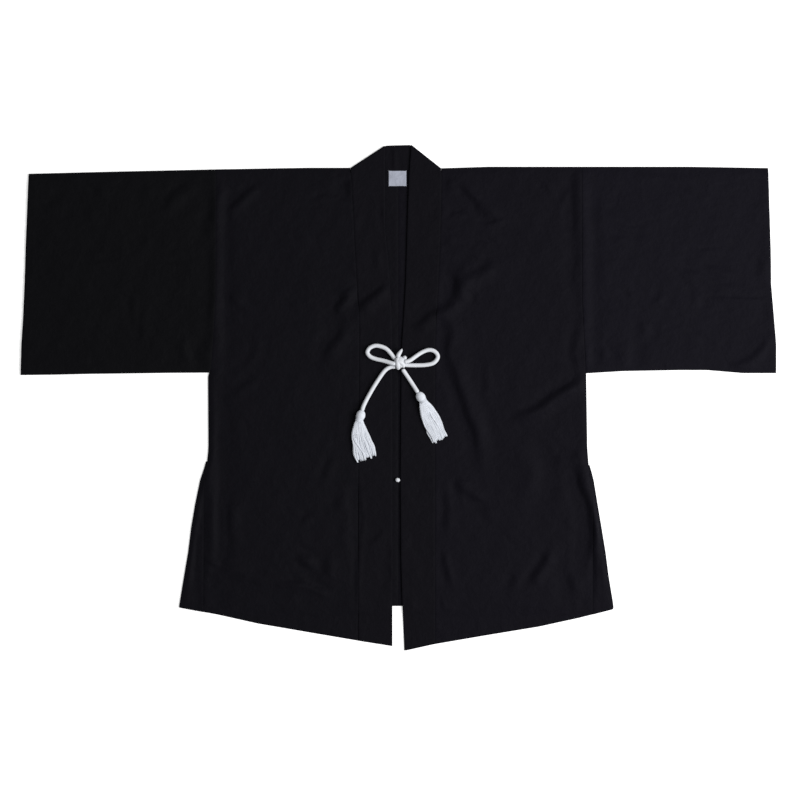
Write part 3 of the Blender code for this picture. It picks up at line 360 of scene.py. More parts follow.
# Braid of the tie cord
CORD = 0.0076
CORD_SIDES = 56
CORD_RING = 0.0006  # from one ring of a cord's surface to the next
PLAIT_STRANDS = 12
PLAIT_LAY = 0.030  # length in which a strand goes once round
PLAIT_DEPTH = 0.10  # depth of the grooves, as a share of the radius
PLAIT_OVER = 0.12  # how far the upper strand lies over the lower, as a share of that depth
PLAIT_ROUND = 0.7  # power that rounds a strand's back
PLAIT_DIVE = 4.0  # how sharply a strand dives under the next
END_LEAST = 0.02  # a rounded end starts this share of the radius from its tip
KNOT_DIVE = 0.7  # a turn's ends are this much thinner, where they dive under another
KNOT_ROWS = 40
BALL_POLE = 0.04  # angle from a ball's pole to its first row

# Threads of the tassels; their shares are of the skirt's length
THREAD_SEED = 7
THREAD_LAYERS = 4
THREADS_ACROSS = 20
THREAD_STEPS = 15
THREAD_SIDES = 6
THREAD_JITTER = 0.03  # how far a thread lies from its even place, in half widths of the skirt
ROOT_HALF = 0.00045  # half thickness inside the head
THREAD_HALF = 0.00112  # half thickness of a hanging thread
THREAD_SWELL = 0.10  # share by which it swells and thins along its length
THREAD_TIP = 0.55  # share of it at the thread's end
ROOT_RISE = 0.0024  # from one layer to the next inside the head
THREAD_RISE = 0.0013  # the same where they lie
THREAD_LIFT = 0.00020  # height of a thread's own slow wave
LIFT_TURNS = 0.9
LIFT_FROM = 0.3  # share in which that wave comes in
THREAD_SETTLE = 0.45  # share in which the layers come down on each other
THREAD_FILL = 0.30  # share in which a thread reaches its full thickness
THREAD_LENGTH = 0.97  # share of the skirt's length that a thread has
THREAD_UNEVEN = 0.040  # how far a thread's length differs from that
LOCK_UNEVEN = 0.7  # share of that difference which the threads of a lock have in common
THREAD_LOCK = 0.50  # how far the threads of a lock draw together
LOCK_FROM = 0.55  # share from which they do
THREAD_WANDER = 0.022  # size of a thread's own sideways wave, in half widths of the skirt
WANDER_TURNS = 2.1
WANDER_FROM = 0.2  # share in which that wave comes in
SWAYS = ((0.055, 1.15, 0.30), (0.030, 2.40, -0.75))  # common waves: size, turns along and across
SWAY_FROM = 0.35  # share in which they come in
CROWN_EDGE = 0.92  # the skirt's section is a circle's crown out to this share of its radius
CROWN_LOW = 0.55  # share of its height that is left at its edge
SKIRT_ROUND = 0.01  # the outer threads end this much earlier
SKIRT_SPACING = 0.002
SKIRT_LENGTH = 0.080  # length of a skirt, about
STRAY_SPACING = 0.001
STRAY_HALF = 0.00115
SKIRT_TOP = 0.0108
THREADS = {
    "left": {
        "locks": 11,
        "sway": 0.6,
        "strays": [
            [(-0.0822, -0.0560, 0.0100), (-0.0800, -0.0640, SKIRT_TOP), (-0.0752, -0.0670, SKIRT_TOP),
             (-0.0700, -0.0676, 0.0104)],
            [(-0.0836, -0.0700, 0.0098), (-0.0798, -0.0808, SKIRT_TOP), (-0.0715, -0.0930, SKIRT_TOP),
             (-0.0631, -0.1049, 0.0098)],
            [(-0.0820, -0.0690, 0.0098), (-0.0770, -0.0830, SKIRT_TOP), (-0.0690, -0.0965, SKIRT_TOP),
             (-0.0605, -0.1085, 0.0098)],
        ],
    },
    "right": {
        "locks": 10,
        "sway": 3.4,
        "strays": [
            [(0.0475, -0.0090, 0.0090), (0.0436, -0.0130, 0.0072), (0.0412, -0.0200, 0.0060),
             (0.0420, -0.0285, 0.0058), (0.0486, -0.0349, 0.0062), (0.0530, -0.0380, 0.0072)],
            [(0.0590, -0.0520, 0.0080), (0.0546, -0.0566, 0.0062), (0.0530, -0.0630, 0.0058),
             (0.0556, -0.0690, 0.0058), (0.0611, -0.0739, 0.0064)],
            [(0.0560, -0.0180, 0.0100), (0.0610, -0.0330, SKIRT_TOP), (0.0720, -0.0490, SKIRT_TOP),
             (0.0800, -0.0640, 0.0098)],
            [(0.0462, -0.0110, 0.0096), (0.0424, -0.0180, 0.0078), (0.0420, -0.0262, 0.0070),
             (0.0466, -0.0330, 0.0072), (0.0520, -0.0400, 0.0086)],
            [(0.0530, -0.0330, 0.0086), (0.0500, -0.0410, 0.0074), (0.0506, -0.0480, 0.0070),
             (0.0548, -0.0540, 0.0076)],
            [(0.0572, -0.0500, 0.0084), (0.0534, -0.0590, 0.0070), (0.0540, -0.0660, 0.0064),
             (0.0600, -0.0760, 0.0066), (0.0640, -0.0840, 0.0064)],
        ],
    },
}
HEAD_ROWS = 44
HEAD_SIDES = 96
HEAD_THREADS = 34
HEAD_TWIST = 0.8  # how far a thread leans round the head
HEAD_GROOVE = 0.06  # depth of the grooves, as a share of the radius
HEAD_GROOVE_POWER = 3
HEAD_NECK = 0.22  # depth of the neck, as the same share
HEAD_NECK_AT = 0.55  # its angle from the foot, and its width
HEAD_NECK_WIDE = 0.22

# Thread round the neck: place along the head, radius, thickness, turns, steps and thicknesses a turn
NECK_WIND = {"share": 0.80, "radius": 0.0064, "thick": 0.00075, "turns": 4, "steps": 40, "pitch": 1.9}

# Sewing: short stitches along the front hems and the cuffs
STITCH = 0.0022  # length of a stitch
STITCH_STEP = 0.0060
STITCH_IN = 0.0120  # distance from the folded edge
STITCH_HALF = 0.00030
STITCH_STAND = 0.00010  # how far its middle stands over the cloth
STITCH_SHAPE = (-0.5, -0.3, 0.0, 0.3, 0.5)
STITCH_THICK = (0.35, 0.9, 1.0, 0.9, 0.35)
STITCH_DIP = (-0.0005, -0.0001, 0.0, -0.0001, -0.0005)
HEM_STITCHES = (0.080, 0.345)
CUFF_STITCHES = (0.060, 0.410)
SEAM_THREAD = 0.00056  # half thickness of the thread in a seam
NECK_THREAD_STEPS = 40

# Looks: the weave, the soft unevenness and the fibres
WEAVE_PITCH = 0.00036
WEAVE_DEPTH = 0.000035
WEAVE_POWER = 0.6  # power that rounds the threads of the weave
WARP_TONE = 0.35  # share of the tone that the weave gives, the mottle gives the rest
CRINKLE_SCALES = (38.0, 130.0)
CRINKLE_DEPTH = 0.0026
CRINKLE_COARSE = 0.7  # share of the height that the coarser noise gives
FIBRE_DEPTH = 0.00010

# Stage
FLOOR_SIZE = 30.0
FLOOR_DROP = 0.0003
VIEW_MIDDLE = (-0.0025, 0.0013)
SENSOR = 36.0
LAMP_PLACE = (2.80, -0.30, 3.15)
LAMP_AIM = (-3.0, 1.3, 0.0)

# Fine creases, a step up to the right, or down if below 0: height, half width, and places it runs through
CREASES = [
    # Right front, above
    (0.0048, 0.0098, [(0.017, 0.131), (0.042, 0.141), (0.061, 0.156), (0.085, 0.166), (0.101, 0.178),
        (0.111, 0.186)]),
    (0.0046, 0.0125, [(0.103, 0.180), (0.108, 0.205), (0.113, 0.228)]),
    (0.0036, 0.0095, [(0.118, 0.228), (0.140, 0.229), (0.164, 0.242), (0.177, 0.247)]),
    (-0.0015, 0.0100, [(0.120, 0.186), (0.135, 0.197), (0.150, 0.194)]),
    (0.0030, 0.0085, [(0.151, -0.130), (0.141, -0.092), (0.139, -0.067), (0.124, -0.031), (0.113, 0.006),
        (0.103, 0.032), (0.093, 0.054), (0.087, 0.080), (0.089, 0.101), (0.094, 0.122), (0.085, 0.139),
        (0.073, 0.157)]),
    (0.0042, 0.0085, [(0.212, -0.038), (0.238, -0.027), (0.262, -0.016), (0.281, -0.001), (0.297, 0.010),
        (0.318, 0.023), (0.334, 0.031), (0.346, 0.043)]),
    (0.0019, 0.0063, [(0.154, 0.361), (0.143, 0.366), (0.132, 0.374), (0.122, 0.385), (0.111, 0.393)]),
    (0.0019, 0.0112, [(0.185, 0.335), (0.159, 0.345), (0.143, 0.364)]),
    (0.0018, 0.0040, [(0.154, 0.323), (0.170, 0.324), (0.183, 0.328), (0.199, 0.332)]),
    (0.0014, 0.0045, [(0.095, 0.335), (0.103, 0.343), (0.114, 0.342), (0.127, 0.344)]),
    (0.0015, 0.0075, [(0.093, 0.388), (0.091, 0.404)]),
    (0.0015, 0.0075, [(0.092, 0.286), (0.088, 0.296)]),
    (0.0009, 0.0045, [(0.191, 0.282), (0.167, 0.295), (0.143, 0.303)]),
    (0.0009, 0.0045, [(0.193, 0.266), (0.154, 0.280)]),
    (0.0015, 0.0075, [(0.164, 0.257), (0.135, 0.262), (0.106, 0.268)]),
    (0.0021, 0.0088, [(0.323, 0.292), (0.325, 0.319), (0.325, 0.360), (0.326, 0.417)]),
    (0.0015, 0.0088, [(0.326, 0.205), (0.323, 0.230), (0.333, 0.260)]),
    (0.0016, 0.0081, [(0.328, 0.055), (0.323, 0.085), (0.326, 0.108), (0.329, 0.130)]),
    (0.0015, 0.0075, [(0.300, 0.359), (0.313, 0.390)]),
    (0.0009, 0.0040, [(0.281, 0.385), (0.269, 0.394), (0.257, 0.401)]),
    (0.0010, 0.0069, [(0.159, 0.006), (0.160, 0.035), (0.159, 0.064)]),
    # Left front, above
    (0.0021, 0.0063, [(-0.313, 0.348), (-0.305, 0.356), (-0.295, 0.365), (-0.281, 0.380), (-0.268, 0.388),
        (-0.258, 0.394)]),
    (-0.0015, 0.0100, [(-0.328, 0.350), (-0.322, 0.372), (-0.312, 0.392)]),
    (0.0052, 0.0098, [(-0.077, 0.160), (-0.069, 0.173), (-0.056, 0.186), (-0.040, 0.197), (-0.029, 0.207),
        (-0.019, 0.215)]),
    (0.0052, 0.0140, [(-0.110, 0.158), (-0.116, 0.165), (-0.120, 0.172)]),
    (0.0042, 0.0115, [(-0.096, 0.173), (-0.101, 0.185), (-0.106, 0.197)]),
    (0.0030, 0.0110, [(-0.138, 0.075), (-0.130, 0.096), (-0.112, 0.115), (-0.104, 0.136)]),
    (0.0012, 0.0045, [(-0.037, 0.335), (-0.029, 0.345)]),
    (0.0010, 0.0063, [(-0.043, 0.235), (-0.043, 0.255), (-0.043, 0.275)]),
    (0.0009, 0.0045, [(-0.075, 0.221), (-0.077, 0.231), (-0.093, 0.239)]),
    (-0.0010, 0.0075, [(-0.074, 0.317), (-0.069, 0.329), (-0.060, 0.338)]),
    (0.0024, 0.0110, [(-0.087, 0.372), (-0.093, 0.385), (-0.095, 0.405)]),
    (0.0010, 0.0045, [(-0.115, 0.408), (-0.100, 0.415)]),
    (0.0009, 0.0040, [(-0.157, 0.364), (-0.138, 0.376), (-0.120, 0.373), (-0.104, 0.377)]),
    (0.0016, 0.0075, [(-0.287, 0.168), (-0.305, 0.175), (-0.319, 0.190)]),
    (0.0010, 0.0075, [(-0.287, 0.059), (-0.268, 0.085), (-0.268, 0.107)]),
    (0.0014, 0.0075, [(-0.305, 0.011), (-0.287, 0.024), (-0.266, 0.036)]),
    # Right front, below
    (0.0062, 0.0108, [(0.342, -0.321), (0.346, -0.302), (0.350, -0.281), (0.354, -0.244), (0.352, -0.214),
        (0.346, -0.188), (0.336, -0.161), (0.334, -0.130), (0.330, -0.113)]),
    (0.0019, 0.0088, [(0.286, -0.107), (0.310, -0.108), (0.334, -0.111)]),
    (0.0021, 0.0088, [(0.117, -0.180), (0.112, -0.165), (0.106, -0.152)]),
    (0.0019, 0.0075, [(0.164, -0.193), (0.143, -0.189), (0.128, -0.174)]),
    (0.0014, 0.0069, [(0.087, -0.250), (0.088, -0.205), (0.087, -0.161)]),
    (0.0023, 0.0063, [(0.092, -0.347), (0.091, -0.329), (0.084, -0.310), (0.082, -0.283)]),
    (0.0012, 0.0035, [(0.084, -0.395), (0.079, -0.376)]),
    (0.0036, 0.0085, [(0.241, -0.344), (0.257, -0.321), (0.270, -0.302), (0.279, -0.283)]),
    (0.0015, 0.0075, [(0.204, -0.352), (0.217, -0.329)]),
    (0.0021, 0.0112, [(0.323, -0.363), (0.312, -0.323)]),
    (0.0019, 0.0100, [(0.045, -0.435), (0.029, -0.403)]),
    (0.0010, 0.0075, [(0.174, -0.230), (0.153, -0.214)]),
    (-0.0010, 0.0040, [(0.103, -0.143), (0.120, -0.146), (0.137, -0.149)]),
    (0.0014, 0.0100, [(0.113, -0.398), (0.165, -0.404), (0.222, -0.408)]),
    (-0.0010, 0.0088, [(0.020, -0.280), (0.021, -0.260)]),
    (-0.0010, 0.0075, [(0.045, -0.335), (0.036, -0.315)]),
    (-0.0010, 0.0088, [(0.038, -0.395), (0.030, -0.370)]),
    (0.0012, 0.0045, [(0.364, -0.363), (0.363, -0.286), (0.363, -0.215)]),
    # Left front, below
    (0.0015, 0.0040, [(-0.329, -0.315), (-0.345, -0.310), (-0.355, -0.302)]),
    (0.0016, 0.0100, [(-0.345, -0.355), (-0.338, -0.340), (-0.342, -0.323)]),
    (0.0019, 0.0100, [(-0.308, -0.283), (-0.315, -0.240), (-0.317, -0.190)]),
    (-0.0015, 0.0075, [(-0.335, -0.290), (-0.336, -0.230), (-0.337, -0.170)]),
    (0.0010, 0.0069, [(-0.292, -0.325), (-0.275, -0.327), (-0.245, -0.335)]),
    (0.0024, 0.0056, [(-0.214, -0.340), (-0.196, -0.342), (-0.178, -0.342), (-0.162, -0.347),
        (-0.143, -0.355), (-0.117, -0.363)]),
    (0.0014, 0.0045, [(-0.157, -0.314), (-0.175, -0.310), (-0.188, -0.297)]),
    (0.0010, 0.0063, [(-0.162, -0.278), (-0.183, -0.270)]),
    (0.0019, 0.0100, [(-0.141, -0.329), (-0.135, -0.321), (-0.137, -0.294)]),
    (-0.0015, 0.0063, [(-0.154, -0.299), (-0.175, -0.289)]),
    (-0.0015, 0.0063, [(-0.162, -0.336), (-0.188, -0.321)]),
    (0.0012, 0.0045, [(-0.076, -0.403), (-0.077, -0.344), (-0.074, -0.286), (-0.072, -0.260),
        (-0.068, -0.230), (-0.073, -0.175), (-0.074, -0.148)]),
    (-0.0010, 0.0088, [(-0.086, -0.300), (-0.090, -0.230), (-0.092, -0.155)]),
    (0.0015, 0.0075, [(-0.143, -0.156), (-0.133, -0.130), (-0.125, -0.108)]),
    (0.0014, 0.0088, [(-0.119, -0.206), (-0.109, -0.185)]),
    (0.0014, 0.0063, [(-0.180, -0.225), (-0.162, -0.217)]),
    (0.0009, 0.0035, [(-0.100, -0.151), (-0.060, -0.152), (-0.011, -0.153)]),
    (0.0014, 0.0063, [(-0.064, -0.273), (-0.045, -0.262), (-0.026, -0.244)]),
    (0.0015, 0.0063, [(-0.013, -0.300), (-0.013, -0.275)]),
    (0.0016, 0.0063, [(-0.016, -0.335), (-0.016, -0.310)]),
    (0.0010, 0.0063, [(-0.026, -0.350), (-0.020, -0.335)]),
    (0.0010, 0.0088, [(-0.170, -0.398), (-0.140, -0.400), (-0.108, -0.403)]),
    # Right sleeve
    (0.0012, 0.0042, [(0.400, 0.322), (0.419, 0.316), (0.430, 0.315), (0.452, 0.315)]),
    (0.0012, 0.0063, [(0.396, 0.298), (0.416, 0.298), (0.432, 0.292), (0.443, 0.284)]),
    (0.0010, 0.0075, [(0.424, 0.415), (0.483, 0.413), (0.562, 0.409)]),
    (0.0016, 0.0063, [(0.514, 0.237), (0.554, 0.231), (0.576, 0.221), (0.594, 0.214), (0.615, 0.207),
        (0.634, 0.206)]),
    (0.0010, 0.0045, [(0.568, 0.245), (0.594, 0.239), (0.612, 0.229)]),
    (0.0009, 0.0040, [(0.555, 0.273), (0.583, 0.274), (0.597, 0.273)]),
    (0.0014, 0.0035, [(0.576, 0.185), (0.610, 0.185), (0.634, 0.184), (0.658, 0.183), (0.686, 0.185)]),
    (0.0011, 0.0075, [(0.666, 0.222), (0.668, 0.239), (0.674, 0.258)]),
    (0.0018, 0.0069, [(0.606, 0.058), (0.631, 0.064), (0.651, 0.072), (0.666, 0.085), (0.676, 0.099),
        (0.687, 0.117)]),
    (0.0012, 0.0088, [(0.379, 0.068), (0.369, 0.083)]),
    (-0.0011, 0.0075, [(0.357, 0.062), (0.355, 0.098)]),
    (0.0011, 0.0088, [(0.452, 0.112), (0.447, 0.140)]),
    (0.0011, 0.0088, [(0.486, 0.118), (0.473, 0.128)]),
    (0.0010, 0.0069, [(0.473, 0.175), (0.486, 0.196)]),
    (0.0010, 0.0069, [(0.424, 0.186), (0.428, 0.197)]),
    (0.0008, 0.0063, [(0.591, 0.101), (0.563, 0.112)]),
    (-0.0010, 0.0075, [(0.535, 0.212), (0.552, 0.203)]),
    (-0.0008, 0.0075, [(0.560, 0.165), (0.560, 0.190)]),
    # Left sleeve
    (0.0012, 0.0075, [(-0.433, 0.352), (-0.422, 0.373), (-0.411, 0.383), (-0.393, 0.389)]),
    (-0.0009, 0.0100, [(-0.425, 0.335), (-0.411, 0.355), (-0.388, 0.373)]),
    (0.0012, 0.0100, [(-0.361, 0.285), (-0.356, 0.318), (-0.344, 0.344), (-0.340, 0.371)]),
    (0.0006, 0.0075, [(-0.350, 0.120), (-0.348, 0.172), (-0.344, 0.233), (-0.348, 0.273)]),
    (0.0013, 0.0100, [(-0.352, 0.058), (-0.365, 0.074), (-0.364, 0.092), (-0.352, 0.110)]),
    (0.0008, 0.0088, [(-0.652, 0.352), (-0.640, 0.362), (-0.618, 0.370)]),
    (0.0008, 0.0075, [(-0.628, 0.331), (-0.612, 0.329), (-0.604, 0.334)]),
    (0.0008, 0.0075, [(-0.560, 0.372), (-0.554, 0.388)]),
    (0.0008, 0.0075, [(-0.580, 0.340), (-0.570, 0.350)]),
    (0.0008, 0.0100, [(-0.474, 0.368), (-0.472, 0.394)]),
    (0.0008, 0.0100, [(-0.478, 0.280), (-0.466, 0.297)]),
    (0.0007, 0.0045, [(-0.600, 0.249), (-0.575, 0.250), (-0.545, 0.254), (-0.520, 0.252)]),
    (0.0008, 0.0069, [(-0.568, 0.273), (-0.547, 0.271)]),
    (0.0005, 0.0045, [(-0.490, 0.315), (-0.462, 0.322)]),
    (0.0006, 0.0063, [(-0.422, 0.265), (-0.403, 0.278)]),
    (0.0006, 0.0040, [(-0.441, 0.249), (-0.405, 0.250), (-0.374, 0.249)]),
    (0.0008, 0.0063, [(-0.488, 0.128), (-0.494, 0.160), (-0.494, 0.190)]),
    (0.0008, 0.0063, [(-0.476, 0.100), (-0.477, 0.135), (-0.475, 0.170)]),
    (0.0008, 0.0063, [(-0.576, 0.057), (-0.560, 0.058)]),
    (-0.0008, 0.0100, [(-0.450, 0.064), (-0.426, 0.068)]),
    (-0.0010, 0.0075, [(-0.380, 0.060), (-0.390, 0.087), (-0.392, 0.110)]),
    # Left edge of the opening, and behind the neck
    (0.0015, 0.0045, [(-0.011, 0.168), (-0.017, 0.235), (-0.022, 0.279), (-0.030, 0.346), (-0.031, 0.390)]),
    (0.0012, 0.0040, [(-0.011, 0.423), (-0.011, 0.460)]),
    # Cloth that rises to the armhole and the side seams
    (-0.0030, 0.0130, [(-0.342, -0.380), (-0.342, -0.250), (-0.338, -0.120), (-0.336, 0.040)]),
    (-0.0050, 0.0140, [(-0.385, -0.360), (-0.372, -0.220), (-0.363, -0.150)]),
    (-0.0020, 0.0100, [(-0.328, 0.050), (-0.327, 0.220), (-0.326, 0.400)]),
    (-0.0014, 0.0100, [(0.356, 0.080), (0.354, 0.240), (0.353, 0.405)]),
    (0.0032, 0.0130, [(0.372, -0.360), (0.366, -0.250), (0.358, -0.150)]),
    # Paler sides of the long folds
    (-0.0018, 0.0110, [(0.172, -0.120), (0.160, -0.060), (0.138, 0.000), (0.120, 0.060), (0.114, 0.105)]),
    (-0.0026, 0.0180, [(0.248, -0.190), (0.262, -0.140), (0.240, -0.090)]),
    (-0.0016, 0.0120, [(0.420, 0.052), (0.430, 0.080), (0.425, 0.110)]),
]
SOFT_FOLD = 0.75  # share of a solid's fold in the soft cloth, which has its creases besides
FOLD_REACH = 3.2  # a fold fades out this many half widths from its route
ROUTE_SPACING = 0.012  # between two points of a fold's smoothed route

# Slow unevenness all over: height, turns a metre along x and along y, and shift
RIPPLES = [
    (0.00022, 9.0, 3.0, 0.3),
    (0.00020, -4.0, 11.0, 1.9),
    (0.00016, 17.0, -8.0, 4.1),
    (0.00014, 6.0, 23.0, 2.6),
    (0.00010, -27.0, 13.0, 5.2),
    (0.00008, 31.0, 29.0, 0.9),
    (0.00007, 14.0, -44.0, 3.3),
]

# Seams: what lies under the cloth beside one, and how the cloth puckers there
ALLOWANCE = 0.0100  # width of a seam allowance
NO_ALLOWANCE = -1.0  # width that gives no rise at all
FAR = 1.0  # distance at which no seam is felt
ALLOWANCE_RISE = 0.00032
ALLOWANCE_EDGE = 0.0025  # length in which the cloth comes down off it
HEM_TURN = 0.0140  # width of a turned hem
PUCKER = 0.00022
PUCKER_REACH = 0.014  # how far from a seam a pucker fades
PUCKER_TURNS = (58.0, 37.0)  # turns a metre of its two waves

# A free edge of the cloth is rounded over its half wall
RIM_PLACES = np.array([0.0, 0.10, 0.42, 1.0])
RIM_HEIGHTS = np.sqrt(1.0 - (1.0 - RIM_PLACES) ** 2)
ARC_ROWS = 10  # rows round a folded edge
NECK_CELLS = 14  # across the back between its middle and the shoulder fold
BACK_ROW = 0.020  # row height of the back, which lies flat
BACK_ROWS_OF_SLEEVE = 14
FRONT_TOP = 0.4190  # first level row under the shoulder fold


def between(table, column, at, soften=0.0):
    """Read a column of a table at any place between its rows, its corners rounded over soften."""
    rows = np.array(sorted(table))
    nearby = [np.interp(at + step * soften, rows[:, 0], rows[:, column]) for step in SOFTEN_STEPS]
    return sum(nearby) / len(nearby)


def band_edge(side, which, y):
    """Distance of the band's outer or inner edge from the middle."""
    return between(BAND_EDGES, which[side], y, BAND_SOFTEN)


def ease(share):
    """Smooth step: 3 s squared less 2 s cubed, held at 0 and 1."""
    held = np.clip(share, 0.0, 1.0)
    return held * held * (3.0 - 2.0 * held)


def walked_along(points):
    """Length walked along a row of points, up to each of them."""
    steps = np.linalg.norm(np.diff(points, axis=-2), axis=-1)
    return np.concatenate([np.zeros(steps.shape[:-1] + (1,)), np.cumsum(steps, axis=-1)], axis=-1)


def smooth_path(route, spacing):
    """Evenly spaced points of the cubic curve that runs through each point along its neighbours' chord."""
    given = np.array(route, dtype=float)
    held = np.concatenate([2 * given[:1] - given[1:2], given, 2 * given[-1:] - given[-2:-1]])
    p0, p1, p2, p3 = (held[start:len(held) - 3 + start, None] for start in range(4))
    t = np.linspace(0.0, 1.0, CURVE_STEPS, endpoint=False)[None, :, None]
    curve = 0.5 * (2 * p1 + (p2 - p0) * t + (2 * p0 - 5 * p1 + 4 * p2 - p3) * t ** 2
                   + (3 * p1 - p0 - 3 * p2 + p3) * t ** 3)
    fine = np.concatenate([curve.reshape(-1, given.shape[1]), given[-1:]])
    walked = walked_along(fine)
    marks = np.linspace(0.0, walked[-1], max(2, round(walked[-1] / spacing) + 1))
    return np.stack([np.interp(marks, walked, axis) for axis in fine.T], axis=1)


def along_fold(route, x, y):
    """Distance of each place from a fold's route, its share of the route's length, and how far it lies
    to the right of the line that the route follows there."""
    corners = smooth_path(route, ROUTE_SPACING)
    pieces = np.linalg.norm(np.diff(corners, axis=0), axis=1)
    nearest = np.full(x.shape, np.inf)
    share, right = np.zeros(x.shape), np.zeros(x.shape)
    walked = 0.0
    for start, end, length in zip(corners[:-1], corners[1:], pieces):
        step = (end - start) / length
        off_x, off_y = x - start[0], y - start[1]
        reach = np.clip(off_x * step[0] + off_y * step[1], 0.0, length)
        away = np.hypot(off_x - reach * step[0], off_y - reach * step[1])
        closer = away < nearest
        nearest = np.where(closer, away, nearest)
        share = np.where(closer, (walked + reach) / pieces.sum(), share)
        right = np.where(closer, off_x * step[1] - off_y * step[0], right)
        walked += length
    return nearest, share, right


def bell(away, right):
    """Ridge, exp of minus distance squared: in half widths of the fold."""
    return np.exp(-away ** 2)


def step_up(away, right):
    """Step up to the right, r exp((1 - distance squared) / 2): in half widths of the crease."""
    return right * np.exp(0.5 * (1.0 - away ** 2))


def fold_height(x, y):
    """Sum of the folds as bells and the creases as steps, faded to both ends of each route, plus the
    ripples as a sum of sines. Round the bow what rises is eased to nothing."""
    lift = np.zeros(x.shape)
    for table, shape, scale in ((FOLDS, bell, SOFT_FOLD), (CREASES, step_up, 1.0)):
        for height, width, route in table:
            reach = FOLD_REACH * width
            low, high = np.min(route, axis=0) - reach, np.max(route, axis=0) + reach
            near = (x > low[0]) & (x < high[0]) & (y > low[1]) & (y < high[1])
            if near.any():
                away, share, right = along_fold(route, x[near], y[near])
                fade = ease(share / FOLD_TAPER) * ease((1.0 - share) / FOLD_TAPER)
                fade = FOLD_END + (1.0 - FOLD_END) * fade
                lift[near] += scale * height * fade * shape(away / width, right / width)
    waves = [np.sin(along_x * x + along_y * y + shift) for along_x, along_y, shift in SWELL_WAVES]
    lift += SWELL * waves[0] * waves[1]
    off = np.hypot((x - CALM_MIDDLE[0]) / CALM_HALF[0], (y - CALM_MIDDLE[1]) / CALM_HALF[1])
    calm = ease((off - 1.0) / SOFT_RIM)
    uneven = sum(height * np.sin(2 * np.pi * (along_x * x + along_y * y) + shift)
                 for height, along_x, along_y, shift in RIPPLES)
    return np.where(lift > 0, lift * calm, lift) + uneven * (CALM_RIPPLE + (1.0 - CALM_RIPPLE) * calm)


def edge_distance(x, y):
    """Distance from each place to the nearest sewn, folded or hemmed edge of the outline."""
    out = np.abs(x)
    result = np.full(x.shape, np.inf)
    for side in SIGN:
        column = COLUMN[side]
        here = (x < 0) if side == "left" else (x >= 0)
        body = between(BODY_EDGE, column, y)
        lower_edge = np.where(y < GUSSET_TIP[side], between(GUSSET_EDGE, column, y), body)
        shoulder = between(SHOULDER, column, out) - y
        corner = np.hypot(out - between(BODY_EDGE, column, UNDERARM), y - UNDERARM)
        below = np.minimum(lower_edge - out, y - between(FRONT_HEM, column, out))
        in_body = np.where(y < UNDERARM, below, np.minimum(corner, shoulder))
        in_sleeve = np.minimum(shoulder, y - between(SLEEVE_BOTTOM, column, out))
        in_sleeve = np.minimum(in_sleeve, CUFF_SLACK * PINCH + between(CUFF, column, y) - out)
        is_sleeve = (out > body) & (y > UNDERARM - ARMHOLE_CORNER)
        result = np.where(here, np.where(is_sleeve, in_sleeve, in_body), result)
    return np.maximum(result, 0.0)


def above_back(least, lift):
    """Height over a least one: the lift h gives (h + sqrt(h squared + 4 a squared)) / 2, so that a trough
    stays above it."""
    return least + (lift + np.hypot(lift, 2 * LEAST_AIR)) / 2


def fallen_to(table, high, y):
    """The height high, eased down to the one on the table past the back's hem."""
    return high + (table - high) * ease((BACK_HEM - LAYER - CLOTH - y) / HEM_DROP)


def front_middle(x, y):
    """Height of the middle of the front's wall: back wall, gap, air and folds, all sinking to the edges
    with the smooth step, and down to the table past the back's hem."""
    soft = ease(edge_distance(x, y) / PINCH)
    air = EDGE_AIR + (FRONT_AIR - EDGE_AIR) * soft
    return fallen_to(BACK_MID, above_back(FRONT_LOW, air + fold_height(x, y) * soft), y)


def band_middle(x, y):
    """Height of the middle of the collar band's wall on the front."""
    air = FLAT_TOP - BAND / 2 - BAND_LOW
    high = above_back(BAND_LOW, air + BAND_STIFFNESS * fold_height(x, y))
    turn = BAND / 2 + 2 * NECK_FOLD_RADIUS
    high = high + (turn - high) * ease((y - BAND_RISE_FROM) / BAND_RISE_LENGTH)
    return fallen_to(BAND / 2, high, y)


def seam_rise(away, along, width=ALLOWANCE):
    """Rise of the cloth over a seam allowance, a step eased down at its edge, and puckers that fade
    from the seam as an exp of minus distance."""
    step = ALLOWANCE_RISE * ease((width + ALLOWANCE_EDGE - away) / ALLOWANCE_EDGE)
    waves = sum(np.sin(2 * np.pi * turns * along + turns) for turns in PUCKER_TURNS)
    return step + PUCKER * waves * np.exp(-away / PUCKER_REACH)


def spread(start, end, cells, rim):
    """Places from start to end in rows: short steps over the rounded edge at both ends, even ones between."""
    start, end = (np.atleast_1d(np.asarray(value, dtype=float))[:, None] for value in (start, end))
    step = np.sign(end - start) * rim
    shares = np.linspace(0.0, 1.0, cells + 1)[None, 1:-1]
    inside = start + step + (end - start - 2 * step) * shares
    return np.concatenate([start + step * RIM_PLACES, inside, end - step * RIM_PLACES[::-1]], axis=1)


def rim_profile(cells, near=True, far=True):
    """Share of the wall at the places of spread: a quarter ellipse at each free end."""
    full = np.ones(len(RIM_HEIGHTS))
    return np.concatenate([RIM_HEIGHTS if near else full, np.ones(cells - 1),
                           RIM_HEIGHTS[::-1] if far else full])


def rim_rows(count):
    """The same for a count of places, with both ends free."""
    return rim_profile(count + 1 - 2 * len(RIM_PLACES))


def turned_edge(place, low, high, outward):
    """Half circle from a lower to an upper layer, bulging along outward: [step, place, xyz]."""
    angle = np.linspace(-np.pi / 2, np.pi / 2, ARC_ROWS + 1)[:, None]
    radius = (high - low) / 2
    outward = np.broadcast_to(outward, (len(radius), 2))
    x = place[:, 0] + outward[:, 0] * radius * np.cos(angle)
    y = place[:, 1] + outward[:, 1] * radius * np.cos(angle)
    return np.stack([x, y, (high + low) / 2 + radius * np.sin(angle)], axis=2)


